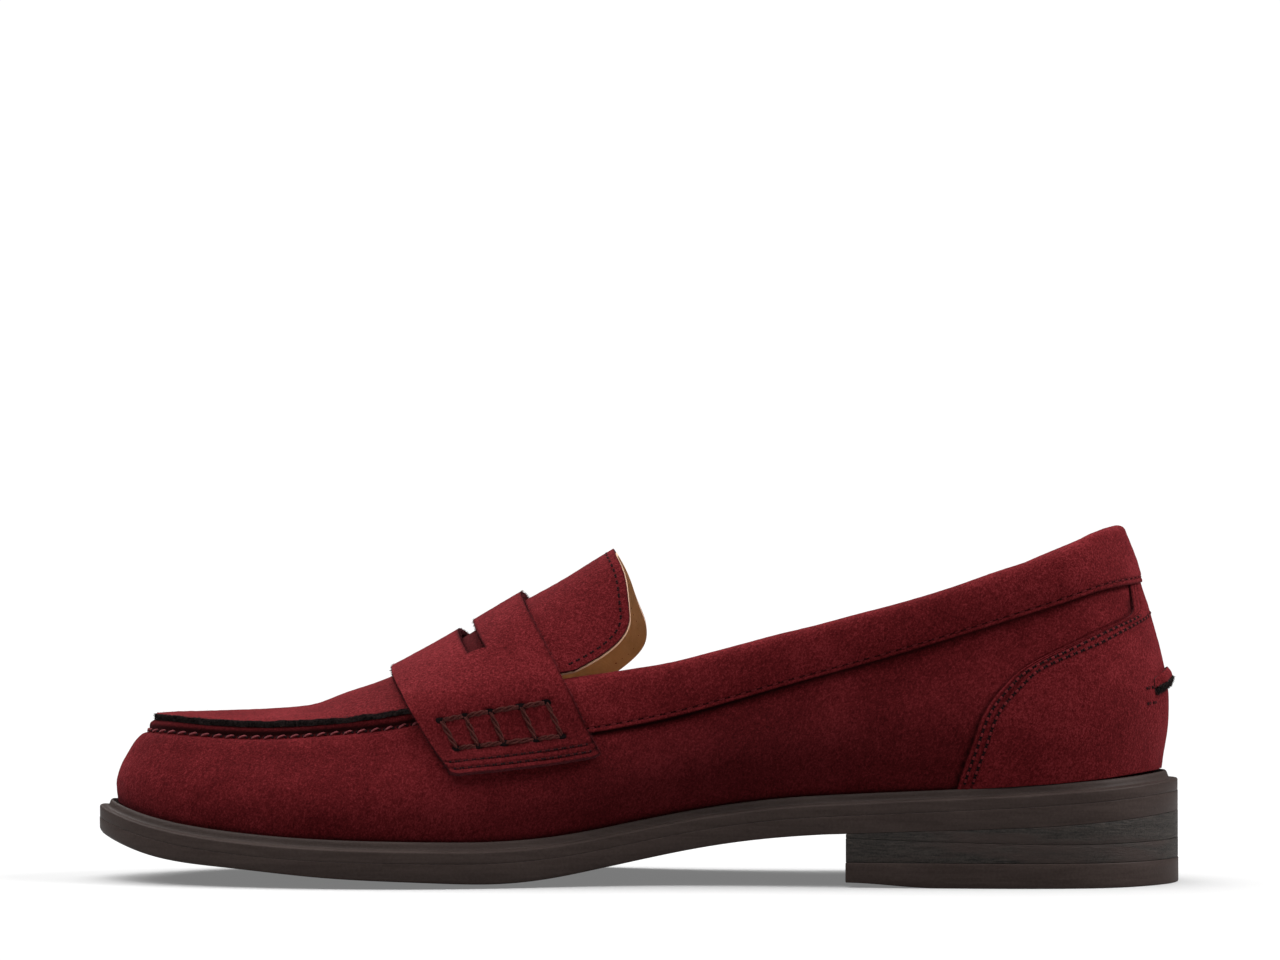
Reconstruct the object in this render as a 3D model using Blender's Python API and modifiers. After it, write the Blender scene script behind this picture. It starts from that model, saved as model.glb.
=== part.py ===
"""Suede penny loafer, right shoe, built piece by piece around one parametric last.

Frame: metres in the scene, millimetres in the constants below.  Toe towards -X, heel towards +X,
inner (medial) side towards -Y, outer (lateral) side towards +Y, +Z up, standing on Z = 0.  The last
has its own origin; CENTRE moves every piece so that the shoe's box stands over the scene's origin.

The last is described by three things:
  * the outsole outline in plan, a closed smooth curve;
  * the wall, a surface over that outline: parameter t runs round the outline, v runs from the sole
    (0) to the top edge of the wall (1), which is the moccasin seam in front and the topline behind;
  * the instep, the arched surface between the two top edges of the wall, w from -1 to 1.
Every layer of the upper is a region of these surfaces at its own depth, thickened with Solidify.
"""

import math

import bmesh
import bpy
import numpy as np

MM = 0.001
CENTRE = np.array([-0.65, 1.58, 0.0])   # middle of the shoe's box, in the last's own coordinates

# ---------------------------------------------------------------- driving dimensions (millimetres)
UPPER_INSET = 4.6            # the sole edge stands out this far beyond the upper
HEEL_SKIVE = 1.3             # the wall is drawn in this much more at the back, under the cover
WALL_FOOT = 0.75             # the wall starts this far above the welt
LAYER_GAP = 0.4              # air between two layers of the upper
SOLE_GAP = 0.35              # air between two layers of the sole

SUEDE = 1.4                  # wall of the upper
PLUG_SUEDE = 1.2             # apron, tongue and strap covers
STRAP_SUEDE = 1.8
LINING = 1.0
STIFFENER = 1.3
COUNTER_SUEDE = 1.0
COUNTER_LIFT = 0.5           # inner face of the counter cover off the wall

WELT_THICK = 3.0             # upper band of the sole edge
WELT_WIDTH = 9.4
LIP_RISE = 2.4               # bead that hides the foot of the upper
LIP_WIDTH = 1.1
INSOLE_THICK = 1.6
FOOTBED_THICK = 2.4
SOCK_THICK = 0.9
BALL_CROWN = 1.3             # the middle of the forepart hangs this far below its edge

HEEL_BREAST = 52.5           # front face of the heel
TOP_LIFT_TOP = 6.2
TOP_LIFT_ROCKER = 1.2        # the front of the top lift is this far off the ground
NAIL_RADIUS = 1.2
NAIL_CLEARANCE = 0.35
NAIL_PLACES = [(76, -17), (76, 17), (108, -14), (108, 14)]

SHANK_START, SHANK_END = -8.0, 70.0
SHANK_WIDTH, SHANK_THICK = 14.0, 1.6

COLLAR_CLEARANCE = 1.6       # from the strap's rear edge to the start of the collar strip
FOLD_WIDTH = 12.5            # height of the collar strip's section as drawn in build_collar
SEAM_BUMP = 0.6              # the strap rises this much more over the apron's raw edge
STRAP_FRONT, STRAP_REAR = -60.6, -26.9   # x of the strap's two edges on the ridge
STRAP_HALF_GIRTH = 1.49      # where the strap ends at its front corner; 1 the seam, 2 the sole
STRAP_END_RISE = 0.06        # the rear corner ends this much higher
FRONT_DROP, REAR_DROP = 0.72, 0.51       # each edge moves back this much for each mm it falls
TONGUE_AXIS = (-27.5, 0.0, 70.5)

# outsole outline in plan: heel back, outer side, toe tip, inner side
OUTLINE = [
    (135.3, 1), (130, 18), (118, 28.5), (100, 33), (75, 34.5), (50, 35), (20, 37), (0, 41),
    (-20, 46), (-40, 49), (-60, 48.5), (-80, 45), (-100, 37.5), (-117, 26), (-130, 11.5),
    (-136.6, -4), (-131.5, -19), (-119, -31), (-102, -39), (-82, -44.5), (-58, -46), (-34, -41.5),
    (-10, -33), (15, -28), (45, -29.5), (75, -32), (100, -32), (118, -27.5), (130, -15.5),
]
TOE_KNOT = 15                # index of the toe tip in OUTLINE

# heights along the shoe, (x, z)
SOLE_EDGE = [(-136, 18.6), (-124, 15.2), (-100, 11.4), (-76, 9.8), (-50, 9.2), (-30, 9.3),
             (-15, 10.8), (0, 13.6), (14, 16.3), (28, 18.5), (40, 19.8), (54, 20.7), (85, 22.3),
             (110, 23.8), (136, 26.0)]
SOLE_BOTTOM = [(-136, 13.0), (-121, 8.0), (-99, 5.0), (-76, 2.8), (-50, 1.6), (-35, 1.3),
               (-20, 2.4), (-3, 5.4), (13, 8.7), (32, 11.6), (53, 13.2), (80, 14.3), (107, 15.5),
               (136, 18.1)]
LIFT_JOINT = [(52, 12.2), (74, 11.5), (90, 11.1), (107, 10.8), (136, 11.2)]
TOP_INNER = [(-136, 38.4), (-124, 39.0), (-98, 39.6), (-80, 40.2), (-68, 41.7), (-57, 43.2),
             (-45, 45.2), (-30, 47.6), (-17, 49.6), (-4, 51.8), (11, 54.9), (35, 61.3),
             (54, 66.2), (74, 71.8), (94, 77.7), (107, 81.6), (121, 85.9), (136, 88.4)]
BAND_WIDTH = [(-20, 12.2), (10, 12.1), (37, 11.5), (62, 11.0), (88, 11.2), (107, 12.0), (136, 13.0)]
OUTER_DIP = [(-136, 0), (-60, 0), (-20, 2.0), (10, 3.4), (50, 3.4), (90, 1.6), (112, 0.2), (136, 0)]
RIDGE = [(-124, 38.8), (-120, 39.4), (-107, 40.2), (-88, 41.1), (-80, 42.6), (-75, 44.6),
         (-66, 47.8), (-55, 53.0), (-28.5, 68.5), (-17, 75.2), (-7, 81.3), (2, 86.4)]

# how far the top of the wall leans in, and how far the wall swells out low down, (x, mm)
LEAN_INNER = [(-136, 9), (-115, 12), (-85, 14), (-60, 13), (-40, 10), (-17, 6), (0, 3.5),
              (20, 2), (50, 2), (80, 4), (105, 5.5), (136, 8.5)]
LEAN_OUTER = [(-136, 9), (-115, 12), (-85, 14), (-60, 16), (-40, 17), (-17, 15), (0, 11.5),
              (20, 9), (50, 7), (80, 6), (105, 6), (136, 8.5)]
SWELL_INNER = [(-136, 0.8), (-80, 1.4), (-40, 2.5), (-10, 4), (20, 4.5), (50, 3.6), (90, 2.8),
               (136, 2.4)]
SWELL_OUTER = [(-136, 0.8), (-80, 1.4), (-40, 1.6), (20, 2.4), (50, 3), (90, 2.8), (136, 2.4)]
LEAN_POWER = 2.25
SWELL_NORM = 45.6            # makes the swell curve up^2 (1 - up)^4 reach 1 at a third of the height

# free edge of the tongue: (w across the instep, x)
TONGUE_END = [(-0.97, -17.5), (-0.91, -8.6), (-0.85, -3.9), (-0.73, -2.5), (-0.53, -3.8),
              (-0.25, -6.2), (0.0, -7.0), (0.25, -5.4), (0.5, -2.6), (0.7, -0.8), (0.82, 0.2),
              (0.89, -1.6), (0.97, -9.0)]
# front edge of the counter cover: (v up the wall, x)
COUNTER_EDGE = [(0.0, 80.0), (0.13, 82.0), (0.26, 84.6), (0.42, 88.7), (0.50, 93.0), (0.555, 98.0),
                (0.595, 106.2), (0.625, 114.7), (0.65, 121.0), (0.69, 123.2), (0.77, 122.6)]
COUNTER_TOP = 0.77           # where the counter cover meets the collar band at the back

COLOURS = {
    "suede": ((0.115, 0.013, 0.018), 0.9, 0.0),
    "thread": ((0.035, 0.015, 0.013), 0.6, 0.0),
    "tan_lining": ((0.42, 0.29, 0.15), 0.6, 0.0),
    "rubber": ((0.030, 0.021, 0.018), 0.5, 0.0),
    "stacked": ((0.022, 0.017, 0.015), 0.65, 0.0),
    "board": ((0.30, 0.22, 0.13), 0.9, 0.0),
    "cork": ((0.35, 0.20, 0.10), 0.95, 0.0),
    "foam": ((0.70, 0.66, 0.55), 0.95, 0.0),
    "steel": ((0.55, 0.56, 0.58), 0.35, 1.0),
    "fibre": ((0.62, 0.60, 0.55), 0.85, 0.0),
}


# ------------------------------------------------------------------------------ smooth curves
def smooth_curve(points):
    """Natural cubic through (x, value) points, as a function that holds its ends level outside."""
    knots = np.array([p[0] for p in points], float)
    values = np.array([p[1] for p in points], float)
    step = np.diff(knots)
    count = len(knots)
    matrix = np.eye(count)
    right = np.zeros(count)
    for i in range(1, count - 1):
        matrix[i, i - 1:i + 2] = step[i - 1], 2 * (step[i - 1] + step[i]), step[i]
        right[i] = 6 * ((values[i + 1] - values[i]) / step[i]
                        - (values[i] - values[i - 1]) / step[i - 1])
    bend = np.linalg.solve(matrix, right)

    def curve(x):
        x = np.clip(np.asarray(x, float), knots[0], knots[-1])
        i = np.clip(np.searchsorted(knots, x, side="right") - 1, 0, count - 2)
        h = step[i]
        a, b = knots[i + 1] - x, x - knots[i]
        cubic = (bend[i] * a ** 3 + bend[i + 1] * b ** 3) / (6 * h)
        return (cubic + (values[i] / h - bend[i] * h / 6) * a
                + (values[i + 1] / h - bend[i + 1] * h / 6) * b)

    return curve


class ClosedOutline:
    """Closed cubic through plan points, one unit of t for each stretch between two points."""

    def __init__(self, points):
        self.points = np.array(points, float)
        self.count = len(points)
        matrix = 4 * np.eye(self.count)
        matrix += np.roll(np.eye(self.count), 1, 0) + np.roll(np.eye(self.count), -1, 0)
        before, after = np.roll(self.points, 1, 0), np.roll(self.points, -1, 0)
        self.bend = np.linalg.solve(matrix, 6 * (after - 2 * self.points + before))

    def _stretch(self, t):
        t = np.mod(np.asarray(t, float), self.count)
        i = np.minimum(t.astype(int), self.count - 1)
        return i, (i + 1) % self.count, (t - i)[..., None]

    def at(self, t):
        i, j, b = self._stretch(t)
        a = 1 - b
        return (self.points[i] * a + self.points[j] * b
                + self.bend[i] * (a ** 3 - a) / 6 + self.bend[j] * (b ** 3 - b) / 6)

    def normal(self, t):
        i, j, b = self._stretch(t)
        a = 1 - b
        along = (self.points[j] - self.points[i]
                 - self.bend[i] * (3 * a ** 2 - 1) / 6 + self.bend[j] * (3 * b ** 2 - 1) / 6)
        along /= np.linalg.norm(along, axis=-1, keepdims=True)
        return np.stack([along[..., 1], -along[..., 0]], -1)


outline = ClosedOutline(OUTLINE)
sole_edge = smooth_curve(SOLE_EDGE)
sole_bottom = smooth_curve(SOLE_BOTTOM)
lift_joint = smooth_curve(LIFT_JOINT)
top_inner = smooth_curve(TOP_INNER)
outer_dip = smooth_curve(OUTER_DIP)
band_width = smooth_curve(BAND_WIDTH)
ridge = smooth_curve(RIDGE)
lean_inner, lean_outer = smooth_curve(LEAN_INNER), smooth_curve(LEAN_OUTER)
swell_inner, swell_outer = smooth_curve(SWELL_INNER), smooth_curve(SWELL_OUTER)


def smoothstep(x, low, high):
    s = np.clip((np.asarray(x, float) - low) / (high - low), 0, 1)
    return s * s * (3 - 2 * s)


# --------------------------------------------------------------------------------- the last
def wall(t, v):
    """Outer face of the upper's wall: plan outline, pushed in by inset, swell and lean."""
    t, v = np.broadcast_arrays(np.asarray(t, float), np.asarray(v, float))
    plan, normal = outline.at(t), outline.normal(t)
    x = plan[..., 0]
    outer = smoothstep(normal[..., 1], -0.9, 0.9)
    top = top_inner(x) - outer * outer_dip(x)
    base = sole_edge(x) + WALL_FOOT
    lean = lean_inner(x) * (1 - outer) + lean_outer(x) * outer
    swell = swell_inner(x) * (1 - outer) + swell_outer(x) * outer
    up = np.clip(v, 0, None)
    push = -UPPER_INSET - HEEL_SKIVE * smoothstep(x, 95, 134)
    push = push + swell * SWELL_NORM * up ** 2 * (1 - up) ** 4 - lean * up ** LEAN_POWER
    return np.concatenate([plan + normal * push[..., None], (base + (top - base) * v)[..., None]], -1)


def knot_of_x(x, v, inner):
    """The t at which the wall, at height v, passes a given x on one side of the shoe."""
    x, v = np.broadcast_arrays(np.asarray(x, float), np.asarray(v, float))
    if inner:
        low, high = np.full(x.shape, TOE_KNOT - 0.2), np.full(x.shape, float(outline.count))
    else:
        low, high = np.full(x.shape, TOE_KNOT - 0.2), np.zeros(x.shape)
    for _ in range(34):
        middle = (low + high) / 2
        short = wall(middle, v)[..., 0] < x
        low, high = np.where(short, middle, low), np.where(short, high, middle)
    return (low + high) / 2


def instep(x, w):
    """Arched surface between the two top edges of the wall, at one x across the shoe."""
    x, w = np.broadcast_arrays(np.asarray(x, float), np.asarray(w, float))
    inner = wall(knot_of_x(x, 1.0, True), 1.0)
    outer = wall(knot_of_x(x, 1.0, False), 1.0)
    share = ((w + 1) / 2)[..., None]
    point = inner * (1 - share) + outer * share
    middle = (inner[..., 2] + outer[..., 2]) / 2
    point[..., 2] += np.maximum(ridge(x) - middle, 0) * (1 - w ** 2)
    return point


def skin(x, q):
    """Instep where |q| < 1; beyond, the wall, down to the sole at |q| = 2."""
    x, q = np.broadcast_arrays(np.asarray(x, float), np.asarray(q, float))
    over = instep(x, np.clip(q, -1, 1))
    height = np.clip(2 - np.abs(q), 0, 1)
    inner = wall(knot_of_x(x, height, True), height)
    outer = wall(knot_of_x(x, height, False), height)
    side = np.where((q < 0)[..., None], inner, outer)
    return np.where((np.abs(q) <= 1)[..., None], over, side)


def at_depth(surface, first, second, depth):
    """Points of a surface moved inwards by depth along its own normal (outwards if negative)."""
    first, second = np.broadcast_arrays(np.asarray(first, float), np.asarray(second, float))
    step = 1e-3
    along = surface(first + step, second) - surface(first - step, second)
    up = surface(first, second + step) - surface(first, second - step)
    normal = np.cross(along, up)
    normal /= np.linalg.norm(normal, axis=-1, keepdims=True)
    return surface(first, second) - normal * np.asarray(depth, float)[..., None]


# ------------------------------------------------------------------------------ mesh helpers
def material(name, finish):
    colour, roughness, metallic = COLOURS[finish]
    made = bpy.data.materials.new(name)
    made.use_nodes = True
    shader = made.node_tree.nodes["Principled BSDF"]
    shader.inputs["Base Color"].default_value = (*colour, 1)
    shader.inputs["Roughness"].default_value = roughness
    shader.inputs["Metallic"].default_value = metallic
    return made


def add_object(name, vertices, faces, finish, home, origin=(0, 0, 0), closed=True):
    """A mesh object from points in millimetres, doubles merged; a closed one is turned outwards."""
    shifted = (np.asarray(vertices, float).reshape(-1, 3) - np.asarray(origin, float)) * MM
    mesh = bpy.data.meshes.new(name)
    mesh.from_pydata(shifted.tolist(), [], faces)
    work = bmesh.new()
    work.from_mesh(mesh)
    bmesh.ops.remove_doubles(work, verts=work.verts, dist=1e-6)
    if closed:
        bmesh.ops.recalc_face_normals(work, faces=work.faces)
    work.to_mesh(mesh)
    work.free()
    mesh.shade_smooth()
    mesh.set_sharp_from_angle(angle=math.radians(35))
    mesh.materials.append(material(name, finish))
    made = bpy.data.objects.new(name, mesh)
    made.location = (np.asarray(origin, float) - CENTRE) * MM
    home.objects.link(made)
    return made


def grid_faces(rows, columns, wrap=False, skip=()):
    """Quads of a rows by columns grid; wrap joins the last column to the first."""
    faces = []
    across = columns if wrap else columns - 1
    for i in range(rows - 1):
        for j in range(across):
            if (i, j) in skip:
                continue
            k = (j + 1) % columns
            faces.append((i * columns + j, i * columns + k,
                          (i + 1) * columns + k, (i + 1) * columns + j))
    return faces


def sheet(name, points, thickness, finish, home, skip=(), origin=(0, 0, 0)):
    """An open grid on a layer's inner face, columns along t or x, rows up v or q, thickened outwards."""
    rows, columns = points.shape[:2]
    faces = grid_faces(rows, columns, skip=skip)
    used = sorted({index for face in faces for index in face})
    place = {old: new for new, old in enumerate(used)}
    faces = [tuple(place[index] for index in face) for face in faces]
    made = add_object(name, points.reshape(-1, 3)[used], faces, finish, home, origin, closed=False)
    solid = made.modifiers.new("thickness", "SOLIDIFY")
    solid.thickness = thickness * MM
    solid.offset = 1.0
    solid.use_even_offset = True
    return made


def ring_loft(name, sections, finish, home):
    """A closed ring from sections (stations, section points, xyz), joined all the way round."""
    stations, count = sections.shape[:2]
    faces = []
    for i in range(stations):
        k = (i + 1) % stations
        for j in range(count):
            m = (j + 1) % count
            faces.append((i * count + j, i * count + m, k * count + m, k * count + j))
    return add_object(name, sections.reshape(-1, 3), faces, finish, home)


def bar_loft(name, sections, finish, home):
    """A bar from closed sections carried along its length, with its two ends filled."""
    stations, count = sections.shape[:2]
    faces = grid_faces(stations, count, wrap=True)
    faces.append(tuple(range(count)))
    faces.append(tuple(range((stations - 1) * count, stations * count)))
    return add_object(name, sections.reshape(-1, 3), faces, finish, home)


def slab(name, plan, low, high, cuts, finish, home, middle_cuts=()):
    """A plate over a plan polygon; its two faces follow low(x, y) and high(x, y) between cuts."""
    work = bmesh.new()
    work.faces.new([work.verts.new((x, y, 0)) for x, y in plan])
    for axis, places in (((1, 0, 0), cuts), ((0, 1, 0), middle_cuts)):
        for place in places:
            geometry = work.verts[:] + work.edges[:] + work.faces[:]
            point = [place * component for component in axis]
            bmesh.ops.bisect_plane(work, geom=geometry, dist=1e-4, plane_co=point, plane_no=axis)
    lifted = bmesh.ops.extrude_face_region(work, geom=work.faces[:])
    upper = {v for v in lifted["geom"] if isinstance(v, bmesh.types.BMVert)}
    for vertex in work.verts:
        height = high if vertex in upper else low
        vertex.co.z = float(height(vertex.co.x, vertex.co.y))
    bmesh.ops.triangulate(work, faces=work.faces[:])
    work.verts.index_update()
    vertices = [tuple(v.co) for v in work.verts]
    faces = [tuple(v.index for v in face.verts) for face in work.faces]
    work.free()
    return add_object(name, vertices, faces, finish, home)


def cylinder_between(name, x, y, low, high, radius, finish, home, sides=10):
    """An upright pin or hole cutter, from the cylinder primitive."""
    bpy.ops.mesh.primitive_cylinder_add(vertices=sides, radius=radius * MM, depth=(high - low) * MM,
                                        location=(np.array([x, y, (low + high) / 2]) - CENTRE) * MM)
    made = bpy.context.object
    made.name = name
    made.data.name = name
    for owner in list(made.users_collection):
        owner.objects.unlink(made)
    home.objects.link(made)
    made.data.materials.append(material(name, finish))
    return made


def cut_with(target, cutter):
    cut = target.modifiers.new("cut", "BOOLEAN")
    cut.object = cutter
    cut.operation = "DIFFERENCE"
    cut.solver = "EXACT"


def inset_plan(inset, knots, low_x=None):
    """Plan polygon of the sole outline drawn in by inset, cut square at low_x if given."""
    inset = np.broadcast_to(inset, knots.shape)
    points = outline.at(knots) - outline.normal(knots) * inset[:, None]
    if low_x is None:
        return [tuple(p) for p in points]
    keep = [tuple(p) for p in points if p[0] > low_x + 0.5]
    start = [i for i, p in enumerate(points) if p[0] > low_x + 0.5]
    gap = next(i for i in range(len(start) - 1) if start[i + 1] != start[i] + 1)
    outer, inner = keep[:gap + 1], keep[gap + 1:]
    return outer + [(low_x, outer[-1][1]), (low_x, inner[0][1])] + inner


# ------------------------------------------------------------------------------------ the sole
ROUND = np.arange(0, len(OUTLINE), 1 / 2)                # sampling round the whole outline
LENGTH_CUTS = list(range(-128, 130, 13))


def build_sole(home):
    def edge(x, _y=0):
        return sole_edge(x)

    def crown(x, y):
        """The forepart's middle hangs below its edge; none behind the waist."""
        half_width = 46.0
        rise = np.clip(1 - (y / half_width) ** 2, 0, 1)
        return sole_bottom(x) - BALL_CROWN * rise * (1 - smoothstep(x, -35, -5))

    outsole = slab("outsole", inset_plan(0, ROUND), crown,
                   lambda x, y: edge(x) - WELT_THICK, LENGTH_CUTS, "rubber", home,
                   middle_cuts=(-20, 0, 20))
    lip_inner = 3.5
    welt_profile = [(0, -WELT_THICK + SOLE_GAP), (0, -0.3), (0.4, 0), (lip_inner - LIP_WIDTH, 0.2),
                    (lip_inner - 0.8 * LIP_WIDTH, LIP_RISE), (lip_inner, LIP_RISE), (lip_inner, 0),
                    (WELT_WIDTH, 0), (WELT_WIDTH, -WELT_THICK + SOLE_GAP)]
    rings = []
    for inset, rise in welt_profile:
        plan = outline.at(ROUND) - outline.normal(ROUND) * inset
        rings.append(np.column_stack([plan, sole_edge(outline.at(ROUND)[:, 0]) + rise]))
    ring_loft("welt", np.stack(rings, 1), "rubber", home)

    filler = slab("bottom_filler", inset_plan(WELT_WIDTH + SOLE_GAP, ROUND),
                  lambda x, y: edge(x) - WELT_THICK + SOLE_GAP, edge, LENGTH_CUTS, "cork", home)
    board_low = SOLE_GAP
    bed_low = board_low + INSOLE_THICK + SOLE_GAP
    sock_low = bed_low + FOOTBED_THICK + SOLE_GAP
    heel_draw = HEEL_SKIVE * smoothstep(outline.at(ROUND)[:, 0], 85, 120)
    inner_plan = inset_plan(10.0 + heel_draw, ROUND)
    board = slab("insole_board", inner_plan, lambda x, y: edge(x) + board_low,
                 lambda x, y: edge(x) + board_low + INSOLE_THICK, LENGTH_CUTS, "board", home)
    slab("footbed", inner_plan, lambda x, y: edge(x) + bed_low,
         lambda x, y: edge(x) + bed_low + FOOTBED_THICK, LENGTH_CUTS, "foam", home)
    slab("sock_liner", inner_plan, lambda x, y: edge(x) + sock_low,
         lambda x, y: edge(x) + sock_low + SOCK_THICK, LENGTH_CUTS, "tan_lining", home)
    return outsole, filler, board


def shank_plan(margin):
    half = SHANK_WIDTH / 2 + margin
    start, end = SHANK_START - margin, SHANK_END + margin
    return [(start, -half), (end, -half), (end, half), (start, half)]


def build_shank(home, cutters, filler):
    """Spring-steel shank in a pocket open at the top of the filler."""
    cuts = [c for c in range(0, 70, 10)]
    slab("shank", shank_plan(0), lambda x, y: sole_edge(x) - SHANK_THICK,
         lambda x, y: sole_edge(x), cuts, "steel", home)
    pocket = slab("shank_pocket", shank_plan(SOLE_GAP),
                  lambda x, y: sole_edge(x) - SHANK_THICK - SOLE_GAP,
                  lambda x, y: sole_edge(x) + 2, cuts, "steel", cutters)
    cut_with(filler, pocket)


def build_heel(home, cutters, drilled):
    """Three layers under the heel seat and the nails that hold them."""
    plan = inset_plan(0, ROUND, HEEL_BREAST)
    cuts = [c for c in range(62, 130, 10)]
    upper = slab("heel_lift_upper", plan, lambda x, y: lift_joint(x),
                 lambda x, y: sole_bottom(x) - SOLE_GAP, cuts, "stacked", home)
    lower = slab("heel_lift_lower", plan, lambda x, y: TOP_LIFT_TOP + SOLE_GAP,
                 lambda x, y: lift_joint(x) - SOLE_GAP, cuts, "stacked", home)
    slab("top_lift", plan, lambda x, y: TOP_LIFT_ROCKER * (1 - smoothstep(x, HEEL_BREAST, 76)),
         lambda x, y: TOP_LIFT_TOP, cuts, "rubber", home)
    for number, (x, y) in enumerate(NAIL_PLACES, 1):
        top = float(sole_edge(x)) + SOLE_GAP + INSOLE_THICK - SOLE_GAP
        bottom = TOP_LIFT_TOP + 2.0
        cylinder_between(f"heel_nail_{number}", x, y, bottom, top, NAIL_RADIUS, "steel", home)
        hole = cylinder_between(f"nail_hole_{number}", x, y, bottom - SOLE_GAP, top + 3,
                                NAIL_RADIUS + NAIL_CLEARANCE, "steel", cutters)
        for piece in [upper, lower, *drilled]:
            cut_with(piece, hole)


# ----------------------------------------------------------------------------------- the upper
def wall_height(t):
    return (wall(t, 1.0) - wall(t, 0.0))[..., 2]


def stretch(start, end):
    """The thirds of t between start and end, so that all the layers share their upright lines."""
    first, last = math.ceil(start * 3 + 0.3), math.floor(end * 3 - 0.3)
    return np.concatenate([[start], np.arange(first, last + 1) / 3, [end]])


def side_knots(x, v=0.5):
    """t on the outer side and on the inner side where the wall passes x."""
    return float(knot_of_x(x, v, False)), float(knot_of_x(x, v, True))


def lining_depth(x):
    """Outer face of the lining: deeper where the toe puff and the heel stiffener stand behind."""
    stiff = smoothstep(-np.asarray(x), 70, 84) + smoothstep(x, -22, -8)
    return SUEDE + LAYER_GAP + (STIFFENER + LAYER_GAP) * stiff


def wall_layer(name, knots, bottom, top, rows, depth, thickness, finish, home):
    """A layer of the wall: knots along t, v from bottom to top (numbers or arrays over knots)."""
    share = np.linspace(0, 1, rows)[:, None]
    bottom, top = np.broadcast_to(bottom, knots.shape), np.broadcast_to(top, knots.shape)
    v = bottom * (1 - share) + top * share
    t = np.broadcast_to(knots, v.shape)
    inner = at_depth(wall, t, v, np.broadcast_to(depth + thickness, v.shape))
    return sheet(name, inner, thickness, finish, home)


def build_wall(home):
    """Vamp, its lining, toe puff, heel stiffener, quarter lining and heel grip."""
    back_seam = 0.04
    around = stretch(back_seam, outline.count - back_seam)
    x = outline.at(around)[:, 0]
    height = wall_height(around)
    behind = smoothstep(x, -34, -19)
    top = 0.985 * (1 - behind) + (1 - 10.0 / height) * behind
    wall_layer("vamp", around, 0.0, top, 8, 0.0, SUEDE, "suede", home)

    outer, inner = side_knots(-18.5)
    front = stretch(outer, inner)
    depth = lining_depth(outline.at(front)[:, 0])
    wall_layer("vamp_lining", front, 0.02, 0.88, 5, depth, LINING, "tan_lining", home)
    outer, inner = side_knots(-94.0)
    wall_layer("toe_puff", stretch(outer, inner), 0.03, 0.88, 4, SUEDE + LAYER_GAP, STIFFENER,
               "fibre", home)

    outer, inner = side_knots(-16.5)
    rear = stretch(inner - outline.count, outer)
    depth = lining_depth(outline.at(rear)[:, 0])
    wall_layer("quarter_lining", rear, 0.02, 1 - 7.4 / wall_height(rear), 6, depth, LINING,
               "tan_lining", home)
    outer, inner = side_knots(76.0)
    heel = stretch(inner - outline.count, outer)
    wall_layer("heel_stiffener", heel, 0.01, 1 - 14.0 / wall_height(heel), 5, SUEDE + LAYER_GAP,
               STIFFENER, "fibre", home)
    outer, inner = side_knots(92.0)
    heel = stretch(inner - outline.count, outer)
    grip_depth = SUEDE + 4 * LAYER_GAP + STIFFENER + LINING
    wall_layer("heel_grip", heel, 0.14, 1 - 10.0 / wall_height(heel), 5, grip_depth, 0.8,
               "suede", home)


def build_counter_cover(home):
    """Patch over the heel; its front edge sweeps up to a narrow strip at the back."""
    rows = np.array([0.048, 0.15, 0.26, 0.36, 0.44, 0.50, 0.55, 0.59, 0.62, 0.645, 0.67, 0.70, 0.74,
                     COUNTER_TOP])
    edge_x = smooth_curve(COUNTER_EDGE)(rows)
    inner = knot_of_x(edge_x, rows, True) - outline.count
    outer = knot_of_x(edge_x, rows, False)
    share = np.linspace(0, 1, 23)
    t = inner[:, None] * (1 - share) + outer[:, None] * share
    v = np.broadcast_to(rows[:, None], t.shape)
    points = at_depth(wall, t, v, np.full(t.shape, -COUNTER_LIFT))
    sheet("counter_cover", points, COUNTER_SUEDE, "suede", home)


def build_heel_tab(home):
    """Small strip across the back of the heel, standing off along its lower edge."""
    t = np.broadcast_to(np.linspace(-0.62, 0.62, 9), (4, 9))
    v = np.broadcast_to(np.linspace(0.31, 0.41, 4)[:, None], (4, 9))
    stand_off = COUNTER_LIFT + COUNTER_SUEDE + LAYER_GAP
    points = at_depth(wall, t, v, np.full(t.shape, -stand_off))
    sheet("heel_tab", points, SUEDE, "suede", home)


def collar_place(t, down, out):
    """A point down millimetres below the topline and out millimetres off the wall in plan."""
    t, down, out = np.broadcast_arrays(t, down, out)
    down = down * band_width(outline.at(t)[..., 0]) / FOLD_WIDTH
    point = wall(t, 1 - down / wall_height(t))
    point[..., :2] += outline.normal(t) * out[..., None]
    return point


def collar_start(down, inner):
    """t where the collar strip begins: a little behind the rear edge of the strap over it."""
    height = wall_height(knot_of_x(-12.0, 1.0, inner))
    q = (1 + down / height) * (-1 if inner else 1)
    behind = strap_edges(q)[1] + COLLAR_CLEARANCE
    return knot_of_x(behind, 1 - down / height, inner)


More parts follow.
